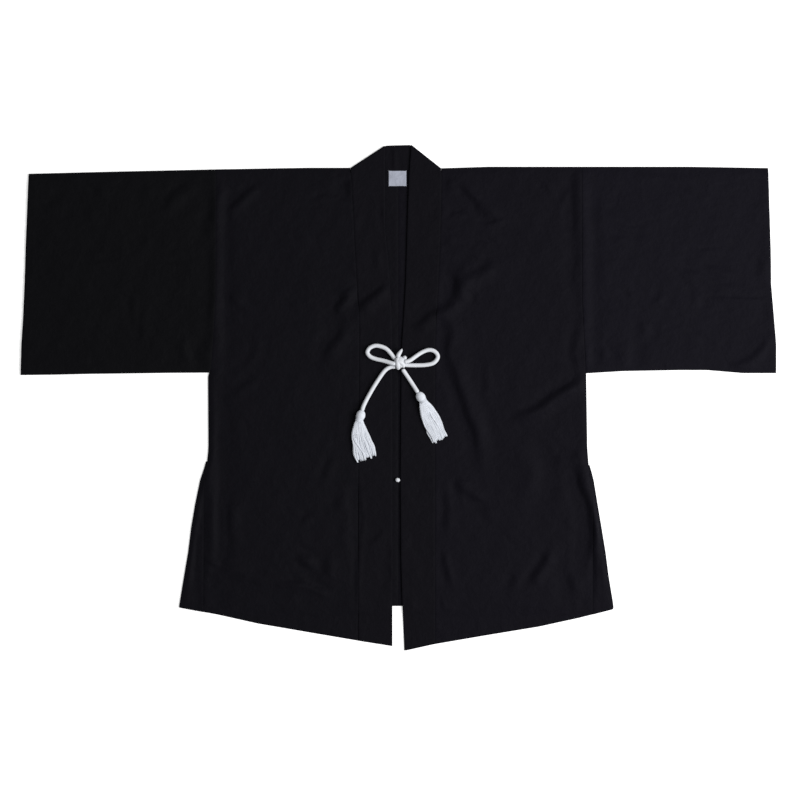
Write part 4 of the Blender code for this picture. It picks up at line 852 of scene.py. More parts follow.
def inside_fold(edge, high):
    """Place of a fold's half circle up to the height high, whose outside reaches the edge."""
    return edge - CLOTH / 2 - (high - BACK_MID) / 2


def flat_places(grid):
    """Place of each corner on the flat cut: lengths walked along one row and one column of the grid."""
    u = walked_along(grid[len(grid) // 2])
    v = walked_along(grid[:, grid.shape[1] * 3 // 4])
    return np.stack(np.meshgrid(u, v), axis=2)


def unit(vectors):
    return vectors / np.maximum(np.linalg.norm(vectors, axis=-1, keepdims=True), TINY)


def wall(grid, half, keep=None, ring=False):
    """Both faces of a wall: each place moved out and in by its half wall along the surface's normal, the
    cross product of its two directions. They share their corners where the half wall is 0, which it is
    all round the free edge. A ring closes along its rows."""
    rows, columns = grid.shape[:2]
    cells = rows if ring else rows - 1
    keep = np.ones((cells, columns - 1), dtype=bool) if keep is None else keep
    near = np.roll(keep, 1, axis=0) if ring else np.pad(keep, ((1, 0), (0, 0)))
    far = keep if ring else np.pad(keep, ((0, 1), (0, 0)))
    both = near & far
    inside = np.pad(both, ((0, 0), (1, 0))) & np.pad(both, ((0, 0), (0, 1)))
    half = np.where(inside, half, 0.0)

    if ring:
        run = np.roll(grid, -1, axis=0) - np.roll(grid, 1, axis=0)
    else:
        run = np.gradient(grid, axis=0)
    normal = unit(np.cross(np.gradient(grid, axis=1), run))
    index = np.arange(rows * columns).reshape(rows, columns)
    other = np.where(inside, index + rows * columns, index)
    points = np.concatenate([(grid + normal * half[..., None]).reshape(-1, 3),
                             (grid - normal * half[..., None]).reshape(-1, 3)])
    places = flat_places(np.concatenate([grid, grid[:1]]) if ring else grid)
    number = np.arange(places.shape[0] * columns).reshape(-1, columns)

    def corners(table):
        """The four corners of each cell, from a table with a row more than there are cells."""
        table = np.concatenate([table, table[:1]]) if ring and len(table) == rows else table
        ends = (table[:-1, :-1], table[:-1, 1:], table[1:, 1:], table[1:, :-1])
        return np.stack(ends, axis=2)[keep]

    quads = np.concatenate([corners(index), corners(other)[:, ::-1]])
    flats = places.reshape(-1, 2)[corners(number)]
    return points, quads, np.concatenate([flats, flats[:, ::-1]])


def tube_skin(rings, length):
    """Closed skin of rings [.., step, corner, xyz], with a pole at each end; its flat places run round
    and along in metres. Leading axes are separate tubes."""
    rings = rings.reshape(-1, *rings.shape[-3:])
    tubes, steps, round_it = rings.shape[:3]
    index = np.arange(tubes * steps * round_it).reshape(tubes, steps, round_it)
    beside = np.roll(index, -1, axis=2)
    quads = np.stack([index[:, :-1], beside[:, :-1], beside[:, 1:], index[:, 1:]], axis=3).reshape(-1, 4)
    poles = np.stack([rings[:, 0].mean(axis=1), rings[:, -1].mean(axis=1)], axis=1)
    pole = index.size + np.arange(tubes * 2).reshape(tubes, 2, 1)
    pole = np.broadcast_to(pole, (tubes, 2, round_it))
    first = np.stack([pole[:, 0], beside[:, 0], index[:, 0]], axis=2).reshape(-1, 3)
    last = np.stack([pole[:, 1], index[:, -1], beside[:, -1]], axis=2).reshape(-1, 3)
    tris = np.concatenate([first, last])

    u = np.linspace(0.0, 1.0, round_it + 1)
    v = np.linspace(0.0, length, steps)
    low_u, high_u = np.broadcast_arrays(u[None, :-1], u[None, 1:])
    low_v, high_v = v[:-1, None], v[1:, None]
    one = [np.stack(np.broadcast_arrays(a, b), axis=2)
           for a, b in ((low_u, low_v), (high_u, low_v), (high_u, high_v), (low_u, high_v))]
    flats = np.broadcast_to(np.stack(one, axis=2), (tubes, steps - 1, round_it, 4, 2)).reshape(-1, 4, 2)
    points = np.concatenate([rings.reshape(-1, 3), poles.reshape(-1, 3)])
    return points, quads, flats, tris


def make_piece(name, skins, material, replaced=()):
    """One mesh object of skins: (points, quads, flat places of their corners, and triangles)."""
    starts = np.cumsum([0] + [len(skin[0]) for skin in skins])
    points = np.concatenate([skin[0] for skin in skins])
    quads = np.concatenate([skin[1] + start for skin, start in zip(skins, starts)])
    tris = np.concatenate([skin[3] + start for skin, start in zip(skins, starts) if len(skin) > 3]
                          or [np.zeros((0, 3), dtype=int)])
    used, corners = np.unique(np.concatenate([quads.ravel(), tris.ravel()]), return_inverse=True)
    faces = corners[:quads.size].reshape(-1, 4).tolist() + corners[quads.size:].reshape(-1, 3).tolist()
    mesh = bpy.data.meshes.new(name)
    mesh.from_pydata(points[used].tolist(), [], faces)
    cut = mesh.uv_layers.new(name=CUT_MAP)
    flats = np.concatenate([skin[2].reshape(-1, 2) for skin in skins] + [np.zeros((tris.size, 2))])
    cut.uv.foreach_set("vector", flats.astype(np.float32).ravel())
    mesh.shade_smooth()
    mesh.materials.append(material)
    piece = bpy.data.objects.new(name, mesh)
    bpy.context.scene.collection.objects.link(piece)
    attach(piece, "root")
    if replaced:
        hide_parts(*replaced)
    return piece


def sewn_relief(x, y):
    """What the sewing does to the fronts and sleeves: a seam allowance under the cloth beside the side
    seam and the armhole, turned hems at the front's foot and at the cuff, and puckers along them."""
    out = np.abs(x)
    relief = np.zeros(x.shape)
    for side in SIGN:
        column = COLUMN[side]
        here = (x < 0) if side == "left" else (x >= 0)
        body = between(BODY_EDGE, column, y)
        high = y > UNDERARM
        armhole = np.where(high, out - body, FAR)
        to_band = out - band_edge(side, OUTER, y)
        to_side = np.where(high, FAR, body - out)
        to_hem = y - between(FRONT_HEM, column, out)
        to_cuff = np.where(high, between(CUFF, column, y) - out, FAR)
        rise = np.where(armhole > 0, seam_rise(armhole, y), seam_rise(-armhole, y, NO_ALLOWANCE))
        rise = np.where(high, rise, seam_rise(np.abs(to_side), y))
        rise += seam_rise(np.abs(to_band), y, NO_ALLOWANCE)
        rise += seam_rise(np.abs(to_hem), out, HEM_TURN)
        rise += seam_rise(np.abs(to_cuff), y, HEM_TURN)
        relief = np.where(here, rise, relief)
    return relief * ease(edge_distance(x, y) / SEWN_FADE)


def front_look(x, y):
    """Middle of the front's wall with its sewing, never lower than the back's."""
    return np.maximum(front_middle(x, y) + sewn_relief(x, y), BACK_MID)


def body_grid(side):
    """Middle surface of a body panel, [along the cloth, across it]: the back flat on the table, half a
    circle over the shoulder, and the front down to its slanting hem. Its half wall, and the cells kept."""
    sign, column = SIGN[side], COLUMN[side]
    rim = CLOTH / 2
    neck_x = abs(NECK_FOLD[side][0][0]) + SEAM
    centre = spread(SEAM / 2, neck_x, NECK_CELLS, rim)[:, :-1]
    back_y = spread(BACK_HEM, NECK_SEAM, round((NECK_SEAM - BACK_HEM) / BACK_ROW), rim)[0]
    cells = coat_sizes().body_cells
    main = spread(np.full(back_y.shape, neck_x), between(BODY_EDGE, column, back_y), cells, rim)
    back_x = np.concatenate([np.repeat(centre, len(back_y), axis=0), main], axis=1)
    back = np.stack([sign * back_x, np.broadcast_to(back_y[:, None], back_x.shape),
                     np.full(back_x.shape, BACK_MID)], axis=2)

    out = spread(neck_x, between(BODY_EDGE, column, SHOULDER_LEVEL), cells, rim)[0]
    edge = between(SHOULDER, column, out)
    high = front_look(sign * out, edge - EDGE_PROBE)
    high = front_look(sign * out, inside_fold(edge, high))
    turned = np.stack([sign * out, inside_fold(edge, high)], axis=1)
    shoulder = turned_edge(turned, BACK_MID, high, (0.0, 1.0))

    levels = np.linspace(FRONT_TOP, BACK_HEM, round((FRONT_TOP - BACK_HEM) / coat_sizes().cell) + 1)
    level_x = spread(band_edge(side, OUTER, levels) + SEAM, between(BODY_EDGE, column, levels), cells, rim)
    foot_x = level_x[-1]
    reach = between(FRONT_HEM, column, foot_x) - BACK_HEM
    shares = np.concatenate([np.linspace(0.0, 1.0, HEM_ROWS + 1)[1:-1, None] * (1 + 0 * reach)[None],
                             1.0 - RIM_PLACES[::-1, None] * rim / np.abs(reach)[None]])
    front_x = np.concatenate([level_x, np.repeat(foot_x[None], len(shares), axis=0)])
    front_y = np.concatenate([np.repeat(levels[:, None], len(foot_x), axis=1), BACK_HEM + reach * shares])
    front = np.stack([sign * front_x, front_y, front_look(sign * front_x, front_y)], axis=2)

    lead = back.shape[1] - len(out)
    upper = np.concatenate([shoulder, front])
    lead_in = np.repeat(upper[:, :1], lead, axis=1)
    grid = np.concatenate([back, np.concatenate([lead_in, upper], axis=1)])
    keep = np.ones((len(grid) - 1, grid.shape[1] - 1), dtype=bool)
    keep[len(back) - 1:, :lead] = False

    across = np.concatenate([rim_profile(NECK_CELLS, far=False)[:-1], rim_profile(cells, near=False)])
    half = np.ones(grid.shape[:2])
    half[:len(back)] = across
    half[len(back):, lead:] = rim_profile(cells)
    half[:len(back), :lead] *= rim_rows(len(back_y))[:, None]
    half[:len(RIM_PLACES), lead:] *= RIM_HEIGHTS[:, None]
    half[-len(RIM_PLACES):] *= RIM_HEIGHTS[::-1, None]
    return grid, half * rim, keep


def sleeve_grid(side):
    """Middle surface of a sleeve, [round the arm, along it]: half a circle over the top, the front, half
    a circle under, and the flat back, which closes the ring."""
    sign, column = SIGN[side], COLUMN[side]
    rim = CLOTH / 2
    cells = coat_sizes().sleeve_cells
    shares = spread(0.0, 1.0, cells, rim / (SLEEVE_SPAN[1] - SLEEVE_SPAN[0]))[0]

    def placed(y):
        """X from armhole to cuff at the heights y, one for each place."""
        inner = between(BODY_EDGE, column, y) + SEAM
        return inner + (between(CUFF, column, y) - inner) * shares

    def outline(table):
        """Places along an edge, whose x hangs on y and y on x, so that both settle in a few rounds."""
        x = np.linspace(*SLEEVE_SPAN, len(shares))
        for _ in range(OUTLINE_ROUNDS):
            x = placed(between(table, column, x))
        return x, between(table, column, x)

    top_x, top_y = outline(SHOULDER)
    low_x, low_y = outline(SLEEVE_BOTTOM)
    top_high = front_look(sign * top_x, top_y - EDGE_PROBE)
    low_high = front_look(sign * low_x, low_y + EDGE_PROBE)
    top_y, low_y = inside_fold(top_y, top_high), -inside_fold(-low_y, low_high)
    over = turned_edge(np.stack([sign * top_x, top_y], axis=1), BACK_MID, top_high, (0.0, 1.0))
    under = turned_edge(np.stack([sign * low_x, low_y], axis=1), BACK_MID, low_high, (0.0, -1.0))

    rows = round((SHOULDER_LEVEL - UNDERARM) / coat_sizes().cell)
    down = np.linspace(0.0, 1.0, rows + 1)[1:-1, None]
    y = top_y + (low_y - top_y) * down
    x = placed(y)
    front = np.stack([sign * x, y, front_look(sign * x, y)], axis=2)
    up = np.linspace(0.0, 1.0, BACK_ROWS_OF_SLEEVE + 2)[1:-1, None]
    y = low_y + (top_y - low_y) * up
    back = np.stack([sign * placed(y), y, np.full(y.shape, BACK_MID)], axis=2)
    grid = np.concatenate([over, front, under[::-1], back])
    half = np.broadcast_to(rim_profile(cells) * rim, grid.shape[:2])
    return grid, half


def gusset_grid(side):
    """Middle surface of a gusset, [from its tip to the hem, round its fold]: the back layer, half a
    circle, and the front layer. The hem's reach grows from the back's to the front's round the fold."""
    sign, column = SIGN[side], COLUMN[side]
    rim = CLOTH / 2
    levels = np.linspace(GUSSET_TIP[side], BACK_HEM, round((GUSSET_TIP[side] - BACK_HEM) / GUSSET_ROW) + 1)
    seam = between(BODY_EDGE, column, levels) + SEAM
    edge = between(GUSSET_EDGE, column, levels)
    high = front_look(sign * (edge - EDGE_PROBE), levels)
    turn = inside_fold(edge, high)
    arc = turned_edge(np.stack([sign * turn, levels], axis=1), np.full(high.shape, BACK_MID), high,
                      (sign, 0.0)).transpose(1, 0, 2)
    back_x = spread(seam, turn, GUSSET_BACK_CELLS, rim)[:, :-1]
    front_x = spread(turn, seam, GUSSET_CELLS, rim)[:, 1:]
    level = levels[:, None]
    back = np.stack([sign * back_x, level + 0 * back_x, BACK_MID + 0 * back_x], axis=2)
    front_y = level + 0 * front_x
    front = np.stack([sign * front_x, front_y, front_look(sign * front_x, front_y)], axis=2)
    grid = np.concatenate([back, arc, front], axis=1)

    foot = grid[-1]
    reach = between(FRONT_HEM, column, np.abs(foot[:, 0])) - BACK_HEM
    turned = np.concatenate([np.zeros(back.shape[1]), np.linspace(0.0, 1.0, arc.shape[1]),
                             np.ones(front.shape[1])])
    share = GUSSET_HEM_LEAST + (1.0 - GUSSET_HEM_LEAST) * ease(turned)
    hem = np.repeat(foot[None], GUSSET_HEM_ROWS + len(RIM_PLACES), axis=0)
    down = np.concatenate([np.linspace(0.0, GUSSET_HEM_EVEN, GUSSET_HEM_ROWS + 1)[1:],
                           1.0 - RIM_PLACES[::-1] * GUSSET_HEM_RIM])
    hem[:, :, 1] = BACK_HEM + reach * share * down[:, None]
    grid = np.concatenate([grid, hem])
    across = np.concatenate([rim_profile(GUSSET_BACK_CELLS, far=False)[:-1], np.ones(arc.shape[1]),
                             rim_profile(GUSSET_CELLS, near=False)[1:]])
    return grid, np.outer(rim_rows(len(grid)), across) * rim


def band_rows(side, across):
    """The band on one front, [from the hem up to its slanting fold, across]: flat rows on the front's
    height, then half a circle that turns it behind the neck."""
    sign, column = SIGN[side], COLUMN[side]
    (outer_x, outer_y), (inner_x, inner_y) = NECK_FOLD[side]
    back_off = NECK_FOLD_RADIUS + BAND / 2
    along = unit(np.array([inner_x - outer_x, inner_y - outer_y]))
    outward = np.array([sign * abs(along[1]), abs(along[0])])
    bulge = np.outer(1.0 - across, [0.0, 1.0 / outward[1]]) + np.outer(across, outward)
    start = np.array([outer_x - sign * FOLD_CLEAR, outer_y]) - bulge[0] * back_off
    end = np.array([inner_x, inner_y]) - bulge[-1] * back_off
    tilt = end[1] - start[1]

    hem_x = band_edge(side, OUTER, BACK_HEM) * (1 - across) + band_edge(side, INNER, BACK_HEM) * across
    reach = between(FRONT_HEM, column, hem_x) - BACK_HEM
    rim = RIM_PLACES[:, None] * BAND / 2 / np.abs(reach)[None]
    shares = np.concatenate([1.0 - rim, np.linspace(1.0, 0.0, BAND_HEM_ROWS + 1)[1:-1, None] + 0 * rim[:1]])
    count = round((start[1] - BAND_LAST_STEP - BACK_HEM) / coat_sizes().cell)
    levels = np.linspace(BACK_HEM, start[1] - BAND_LAST_STEP, count + 1)[:, None]
    lean = levels + tilt * ease((levels - BAND_TILT_FROM) / (start[1] - BAND_TILT_FROM)) * across
    y = np.concatenate([BACK_HEM + reach * shares, lean])
    outer = band_edge(side, OUTER, y)
    x = sign * (outer + (band_edge(side, INNER, y) - outer) * across)
    run = np.stack([x, y, band_look(side, x, y, across)], axis=2)
    crease = start + (end - start) * across[:, None]
    low = np.full(len(across), BAND / 2)
    turn = turned_edge(crease, low, low + 2 * NECK_FOLD_RADIUS, bulge)[::-1]
    part = np.linspace(0.0, 1.0, FOLD_LEAD_ROWS + 2)[1:-1, None, None]
    lead = run[-1] * (1.0 - part) + turn[0] * part
    return np.concatenate([run, lead, turn])


def band_look(side, x, y, across):
    """Middle of the band's wall with its sewing: puckers at the sewn edge, and the doubled cloth swollen
    along both edges as 4 a (1 - a) to a power is hollow between them."""
    sewn = seam_rise(np.abs(np.abs(x) - band_edge(side, OUTER, y)), y, NO_ALLOWANCE)
    roll = BAND_ROLL * (1.0 - (4.0 * across * (1.0 - across)) ** BAND_ROLL_POWER)
    fallen = ease((y - between(FRONT_HEM, COLUMN[side], np.abs(x))) / HEM_DROP)
    return np.maximum(band_middle(x, y) + (sewn + roll) * fallen, BAND / 2)


def collar_grid():
    """Middle surface of the collar band, [from the left hem round the neck to the right hem, across]."""
    across = spread(0.0, 1.0, BAND_CELLS, BAND / 2 / BAND_WIDTH)[0]
    left, right = band_rows("left", across), band_rows("right", across)[::-1]
    rows = smooth_path(NECK_BAND, NECK_ROW)[:, None]
    neck_x = rows[..., 0] + (rows[..., 2] - rows[..., 0]) * across
    neck_y = rows[..., 1] + (rows[..., 3] - rows[..., 1]) * across
    lift = fold_height(neck_x, neck_y) * ease(4.0 * across * (1.0 - across) / NECK_FLAT)
    neck = np.stack([neck_x, neck_y, BAND / 2 + np.maximum(lift, 0.0)], axis=2)
    part = np.linspace(0.0, 1.0, NECK_LEAD_ROWS + 2)[1:-1, None, None]
    grid = np.concatenate([left, left[-1] * (1 - part) + neck[0] * part, neck,
                           neck[-1] * (1 - part) + right[0] * part, right])
    return grid, np.outer(rim_rows(len(grid)), rim_profile(BAND_CELLS)) * BAND / 2


def label_skin():
    """A thin ribbon on the back: flat waves, and a raised cord along its woven edges."""
    columns, rows = LABEL_CELLS
    u, v = np.meshgrid(spread(-0.5, 0.5, columns, LABEL_RIM)[0], spread(-0.5, 0.5, rows, LABEL_RIM)[0])
    one, other = (across * u + up * v + shift for across, up, shift in LABEL_WAVES)
    wave = np.sin(one) * np.cos(other) * (1.0 - 4.0 * v ** 2)
    edge = np.exp(-((0.5 - np.abs(v)) / LABEL_EDGE - 1.0) ** 2)
    x = LABEL_MIDDLE[0] + u * LABEL_WIDTH
    y = LABEL_MIDDLE[1] + v * LABEL_HEIGHT + LABEL_WAVE * np.sin(LABEL_SIDE_RATE * u)
    z = CLOTH + LAYER + LABEL_THICK / 2 + LABEL_WAVE * (1.0 + wave) + LABEL_EDGE_RISE * edge
    half = np.full(x.shape, LABEL_THICK / 2)
    return wall(np.stack([x, y, z], axis=2), half)


def path_frame(points, beside=None):
    """Sideways direction of a path, level or else as near as can be to the one given, and the one square
    to it and to the path."""
    run = unit(np.gradient(points, axis=-2))
    level = np.cross(np.array([0.0, 0.0, 1.0]), run)
    side = unit(level if beside is None else beside - run * (run @ beside)[..., None])
    return side, np.cross(run, side)


def tube_rings(points, radii, sides, relief=None, beside=None):
    """Rings round a path: centre plus radius times (side cos t + up sin t), the radius times one plus a
    relief of t and of the length walked."""
    side, up = path_frame(points, beside)
    turn = np.linspace(0.0, 2 * np.pi, sides, endpoint=False)
    walked = walked_along(points)
    radius = radii[..., None] * (1.0 if relief is None else relief(turn, walked[..., None]))
    spoke = side[..., None, :] * np.cos(turn)[:, None] + up[..., None, :] * np.sin(turn)[:, None]
    return points[..., None, :] + spoke * radius[..., None]


def plaited(turn, walked):
    """Round braid: two sets of strands wind opposite ways, |cos(m/2 (t + 2 pi s/L))| and its mirror, and
    each passes over the other in turn, so the higher of the two shows."""
    one = PLAIT_STRANDS / 2 * (turn + 2 * np.pi * walked / PLAIT_LAY)
    other = PLAIT_STRANDS / 2 * (turn - 2 * np.pi * walked / PLAIT_LAY)
    over = np.tanh(PLAIT_DIVE * np.sin(one) * np.sin(other)) * PLAIT_OVER
    high = np.maximum(np.abs(np.cos(one)) ** PLAIT_ROUND * (1 - PLAIT_OVER + over),
                      np.abs(np.cos(other)) ** PLAIT_ROUND * (1 - PLAIT_OVER - over))
    return 1.0 - PLAIT_DEPTH * (1.0 - high)


def rounded_ends(walked, radius):
    """Share of the radius along a path: a quarter circle at both ends."""
    near = np.minimum(walked, walked[-1] - walked) / radius
    return np.sqrt(np.clip(1.0 - (1.0 - np.clip(near, END_LEAST, 1.0)) ** 2, 0.0, 1.0))


def cord_skin(points, radii):
    """Skin of a stretch of braid along evenly spaced points, with rounded ends."""
    walked = walked_along(points)
    shaped = radii * rounded_ends(walked, radii.mean())
    return tube_skin(tube_rings(points, shaped, CORD_SIDES, plaited), walked[-1])


def turned_ball(middle, halves, lean, rows, sides, relief):
    """Ellipsoid [from foot to top, round]: half sizes times sin and cos of the two angles, times one
    plus a relief, its long side along lean."""
    rise = np.linspace(BALL_POLE, np.pi - BALL_POLE, rows)[:, None]
    turn = np.linspace(0.0, 2 * np.pi, sides, endpoint=False)[None]
    scale = relief(turn, rise)
    along = -np.cos(rise) * halves[1] * np.ones(turn.shape)
    across = np.sin(rise) * np.cos(turn) * halves[0] * scale
    up = np.sin(rise) * np.sin(turn) * halves[2] * scale
    lean = unit(np.array([*lean, 0.0]))
    side = np.array([lean[1], -lean[0], 0.0])
    places = along[..., None] * lean + across[..., None] * -side + up[..., None] * [0.0, 0.0, 1.0]
    return tube_skin(np.array(middle) + places, 2 * halves[1])


def smooth_rows(rows, spacing):
    """Points and radii of a path that is given as rows of a radius and a place."""
    table = np.array([[*place, radius] for radius, place in rows])
    fine = smooth_path(table, spacing)
    return fine[:, :3], fine[:, 3]


def skirt_line(side, share):
    """Middle, sideways direction and half width of a tassel's skirt at shares of its length."""
    table = smooth_path([row[1:] for row in TASSELS[side]["skirt"]], SKIRT_SPACING)
    marks = np.linspace(0.0, 1.0, len(table))
    run = unit(np.gradient(table[:, :2], axis=0))

    def read(values):
        return np.interp(share, marks, values)

    middle = np.stack([read(table[:, 0]), read(table[:, 1])], axis=-1)
    along = np.stack([read(run[:, 0]), read(run[:, 1])], axis=-1)
    sideways = np.stack([-along[..., 1], along[..., 0]], axis=-1)
    return middle, sideways, read(table[:, 2])


def skirt_threads(side, rng):
    """Threads of a skirt, [thread, step, xyz] and their radii: across the skirt's width, drawn together
    into locks towards the end, in layers that settle on each other, each wandering as a slow sine."""
    facts = THREADS[side]
    layer = np.repeat(np.arange(THREAD_LAYERS), THREADS_ACROSS)
    number = np.tile(np.arange(THREADS_ACROSS), THREAD_LAYERS)
    across = -1.0 + 2.0 * (number + 0.5 + 0.5 * (layer % 2 - 0.5)) / THREADS_ACROSS
    across = across + rng.uniform(-THREAD_JITTER, THREAD_JITTER, across.shape)
    shift = rng.uniform(0.0, 2 * np.pi, (3, len(across)))
    locks = facts["locks"]
    own = np.clip(np.floor((across + 1.0) / 2.0 * locks), 0, locks - 1).astype(int)
    lock = (own + 0.5) / locks * 2.0 - 1.0
    lock_length = rng.uniform(-1.0, 1.0, locks)[own]
    own_length = rng.uniform(-1, 1, across.shape)
    uneven = LOCK_UNEVEN * lock_length + (1.0 - LOCK_UNEVEN) * own_length
    length = THREAD_LENGTH + THREAD_UNEVEN * uneven - SKIRT_ROUND * across ** 2
    share = np.linspace(0.0, 1.0, THREAD_STEPS + 1)[None] * length[:, None]
    middle, sideways, half_width = skirt_line(side, share)
    together = THREAD_LOCK * ease((share - LOCK_FROM) / (1.0 - LOCK_FROM))
    place = across[:, None] * (1.0 - together) + lock[:, None] * together
    wander = np.sin(2 * np.pi * share * WANDER_TURNS + shift[0][:, None])
    place = place + THREAD_WANDER * wander * ease(share / WANDER_FROM)
    sway = sum(part * np.sin(2 * np.pi * (turns * share + across_turns * across[:, None]) + facts["sway"])
               for part, turns, across_turns in SWAYS)
    place = place + sway * ease(share / SWAY_FROM)
    flat = middle + sideways * (half_width * place)[..., None]
    settled = ease(share / THREAD_SETTLE)
    crown = np.sqrt(np.clip(1.0 - (CROWN_EDGE * place) ** 2, 0.0, 1.0))
    root = HEAD_LEVEL + (layer[:, None] - (THREAD_LAYERS - 1) / 2) * ROOT_RISE * crown
    risen = THREAD_RISE * (CROWN_LOW + (1.0 - CROWN_LOW) * crown)
    rest = FLAT_TOP + LAYER + THREAD_HALF + layer[:, None] * risen
    lift = THREAD_LIFT * (1.0 + np.sin(2 * np.pi * share * LIFT_TURNS + shift[1][:, None]))
    rest = rest + lift * ease(share / LIFT_FROM)
    z = root + (rest - root) * settled
    radii = ROOT_HALF + (THREAD_HALF - ROOT_HALF) * ease(share / THREAD_FILL)
    radii = radii * (1.0 + THREAD_SWELL * np.sin(2 * np.pi * share * WANDER_TURNS + shift[2][:, None]))
    radii[:, -1] *= THREAD_TIP
    return np.concatenate([flat, z[..., None]], axis=2), radii


def strays(side):
    """Threads that leave the skirt's order, along routes of their own over its top."""
    steps = THREAD_STEPS + 1
    paths, radii = [], []
    for route in THREADS[side]["strays"]:
        fine = smooth_path(route, STRAY_SPACING)
        marks = np.linspace(0.0, len(fine) - 1.0, steps)
        paths.append(np.stack([np.interp(marks, np.arange(len(fine)), axis) for axis in fine.T], axis=1))
        radii.append(np.where(np.arange(steps) == steps - 1, THREAD_TIP, 1.0) * STRAY_HALF)
    return np.array(paths), np.array(radii)


def head_relief(turn, rise):
    """Threads over a tassel's head: fine grooves |cos(n t)| cubed and a neck drawn in near its foot."""
    ridge = np.abs(np.cos(HEAD_THREADS / 2 * turn + HEAD_TWIST * rise))
    groove = 1.0 - HEAD_GROOVE * ridge ** HEAD_GROOVE_POWER
    neck = 1.0 - HEAD_NECK * np.exp(-((rise - HEAD_NECK_AT) / HEAD_NECK_WIDE) ** 2)
    return groove * neck


def core_relief(turn, rise):
    """Braid over the knot's core, read along its height."""
    return plaited(turn, rise * KNOT_CORE[1])


def neck_winding(middle, lean):
    """Thread wound round a tassel's neck: a helix, radius times (side cos t + up sin t) plus a small
    step along the head for each turn."""
    side = np.array([lean[1], -lean[0], 0.0])
    turn = np.linspace(0.0, 2 * np.pi * NECK_WIND["turns"], NECK_WIND["steps"] * NECK_WIND["turns"])[:, None]
    foot = middle - lean * HEAD[1] * NECK_WIND["share"]
    step = (turn / (2 * np.pi) - NECK_WIND["turns"] / 2) * NECK_WIND["thick"] * NECK_WIND["pitch"]
    radius = np.array([NECK_WIND["radius"], NECK_WIND["radius"] * HEAD[2] / HEAD[0]])
    points = foot + lean * step + side * np.cos(turn) * radius[0] + [0.0, 0.0, 1.0] * np.sin(turn) * radius[1]
    run = unit(np.gradient(points, axis=0))
    out = unit(points - foot - lean * step)
    beside = np.cross(run, out)
    about = np.linspace(0.0, 2 * np.pi, THREAD_SIDES + 2, endpoint=False)
    spoke = out[:, None] * np.cos(about)[:, None] + beside[:, None] * np.sin(about)[:, None]
    return tube_skin(points[:, None] + spoke * NECK_WIND["thick"], SKIRT_LENGTH)


def stitch_skin(starts, ends, half):
    """Short stitches as small tubes from starts to ends, whose two tips dive into the cloth."""
    share = np.array(STITCH_SHAPE)[None, :, None] + 0.5
    points = starts[:, None] * (1.0 - share) + ends[:, None] * share
    points = points + np.array([0.0, 0.0, 1.0]) * np.array(STITCH_DIP)[None, :, None]
    radii = np.broadcast_to(np.array(STITCH_THICK) * half, points.shape[:2])
    return tube_skin(tube_rings(points, radii, THREAD_SIDES), STITCH)


def on_front(x, y):
    """Places on the upper face of the front at x and y."""
    return np.stack([x, y, front_look(x, y) + CLOTH / 2 + STITCH_STAND], axis=1)


def hem_stitches(side):
    """Starts and ends of the stitches that hold the front's turned hem, a fixed distance above it."""
    sign, column = SIGN[side], COLUMN[side]
    x = np.arange(*HEM_STITCHES, STITCH_STEP)
    both = []
    for place in (x, x + STITCH):
        both.append(on_front(sign * place, between(FRONT_HEM, column, place) + STITCH_IN))
    return both


def cuff_stitches(side):
    """Starts and ends of the stitches that hold a cuff's turned edge."""
    sign, column = SIGN[side], COLUMN[side]
    y = np.arange(*CUFF_STITCHES, STITCH_STEP)
    return [on_front(sign * (between(CUFF, column, place) - STITCH_IN), place) for place in (y, y + STITCH)]


def seam_thread(path):
    """Sewing thread that fills a seam from end to end: a thin round tube along the gap."""
    radii = np.full(len(path), SEAM_THREAD)
    beside = np.eye(3)[int(np.ptp(path[:, 0]) > np.ptp(path[:, 1]))]
    return tube_skin(tube_rings(path, radii, THREAD_SIDES, beside=beside), 1.0)


def seam_paths():
    """Middle lines of the seams, beside the edges that they join: side and armhole, band, centre back
    and back neck."""
    paths = []
    for side, sign in SIGN.items():
        grid, _, keep = body_grid(side)
        lead = int(np.argmax(keep[-1]))
        first = int(np.argmin(keep[:, 0]))
        beside = np.array([sign * SEAM / 2, 0.0, 0.0])
        paths.append(grid[:, -1] + beside)
        paths.append(grid[first + 1:, lead] - beside)
    centre = np.linspace(BACK_HEM, NECK_SEAM, round((NECK_SEAM - BACK_HEM) / BACK_ROW) + 1)
    paths.append(np.stack([0 * centre, centre, np.full(centre.shape, BACK_MID)], axis=1))
    across = np.linspace(NECK_FOLD["left"][0][0], NECK_FOLD["right"][0][0], NECK_THREAD_STEPS)
    paths.append(np.stack([across, np.full(across.shape, NECK_SEAM + SEAM / 2),
                           np.full(across.shape, BACK_MID)], axis=1))
    return paths


def label_tacks():
    """Starts and ends of the slanting tacks at the label's four corners."""
    corner = np.array([(-1.0, -1.0), (1.0, -1.0), (1.0, 1.0), (-1.0, 1.0)])
    inner = corner * [LABEL_WIDTH / 2 - TACK * TACK_IN, LABEL_HEIGHT / 2 - TACK * TACK_IN]
    outer = inner + corner * TACK * TACK_OUT
    level = CLOTH + LAYER + LABEL_THICK + TACK_HALF / 2
    middle = np.array(LABEL_MIDDLE)
    return [np.column_stack([middle + place, np.full(4, level)]) for place in (inner, outer)]


def feed(tree, node, inputs):
    """Set a node's inputs to values, or link them to other nodes' sockets."""
    for key, value in inputs.items():
        if isinstance(value, bpy.types.NodeSocket):
            tree.links.new(value, node.inputs[key])
        else:
            node.inputs[key].default_value = value


def add_node(tree, kind, inputs=None, **settings):
    """A shader node with its settings and inputs."""
    made = tree.nodes.new(kind)
    for key, value in settings.items():
        setattr(made, key, value)
    feed(tree, made, inputs or {})
    return made


def calculate(tree, operation, *values):
    return add_node(tree, "ShaderNodeMath", dict(enumerate(values)), operation=operation).outputs[0]


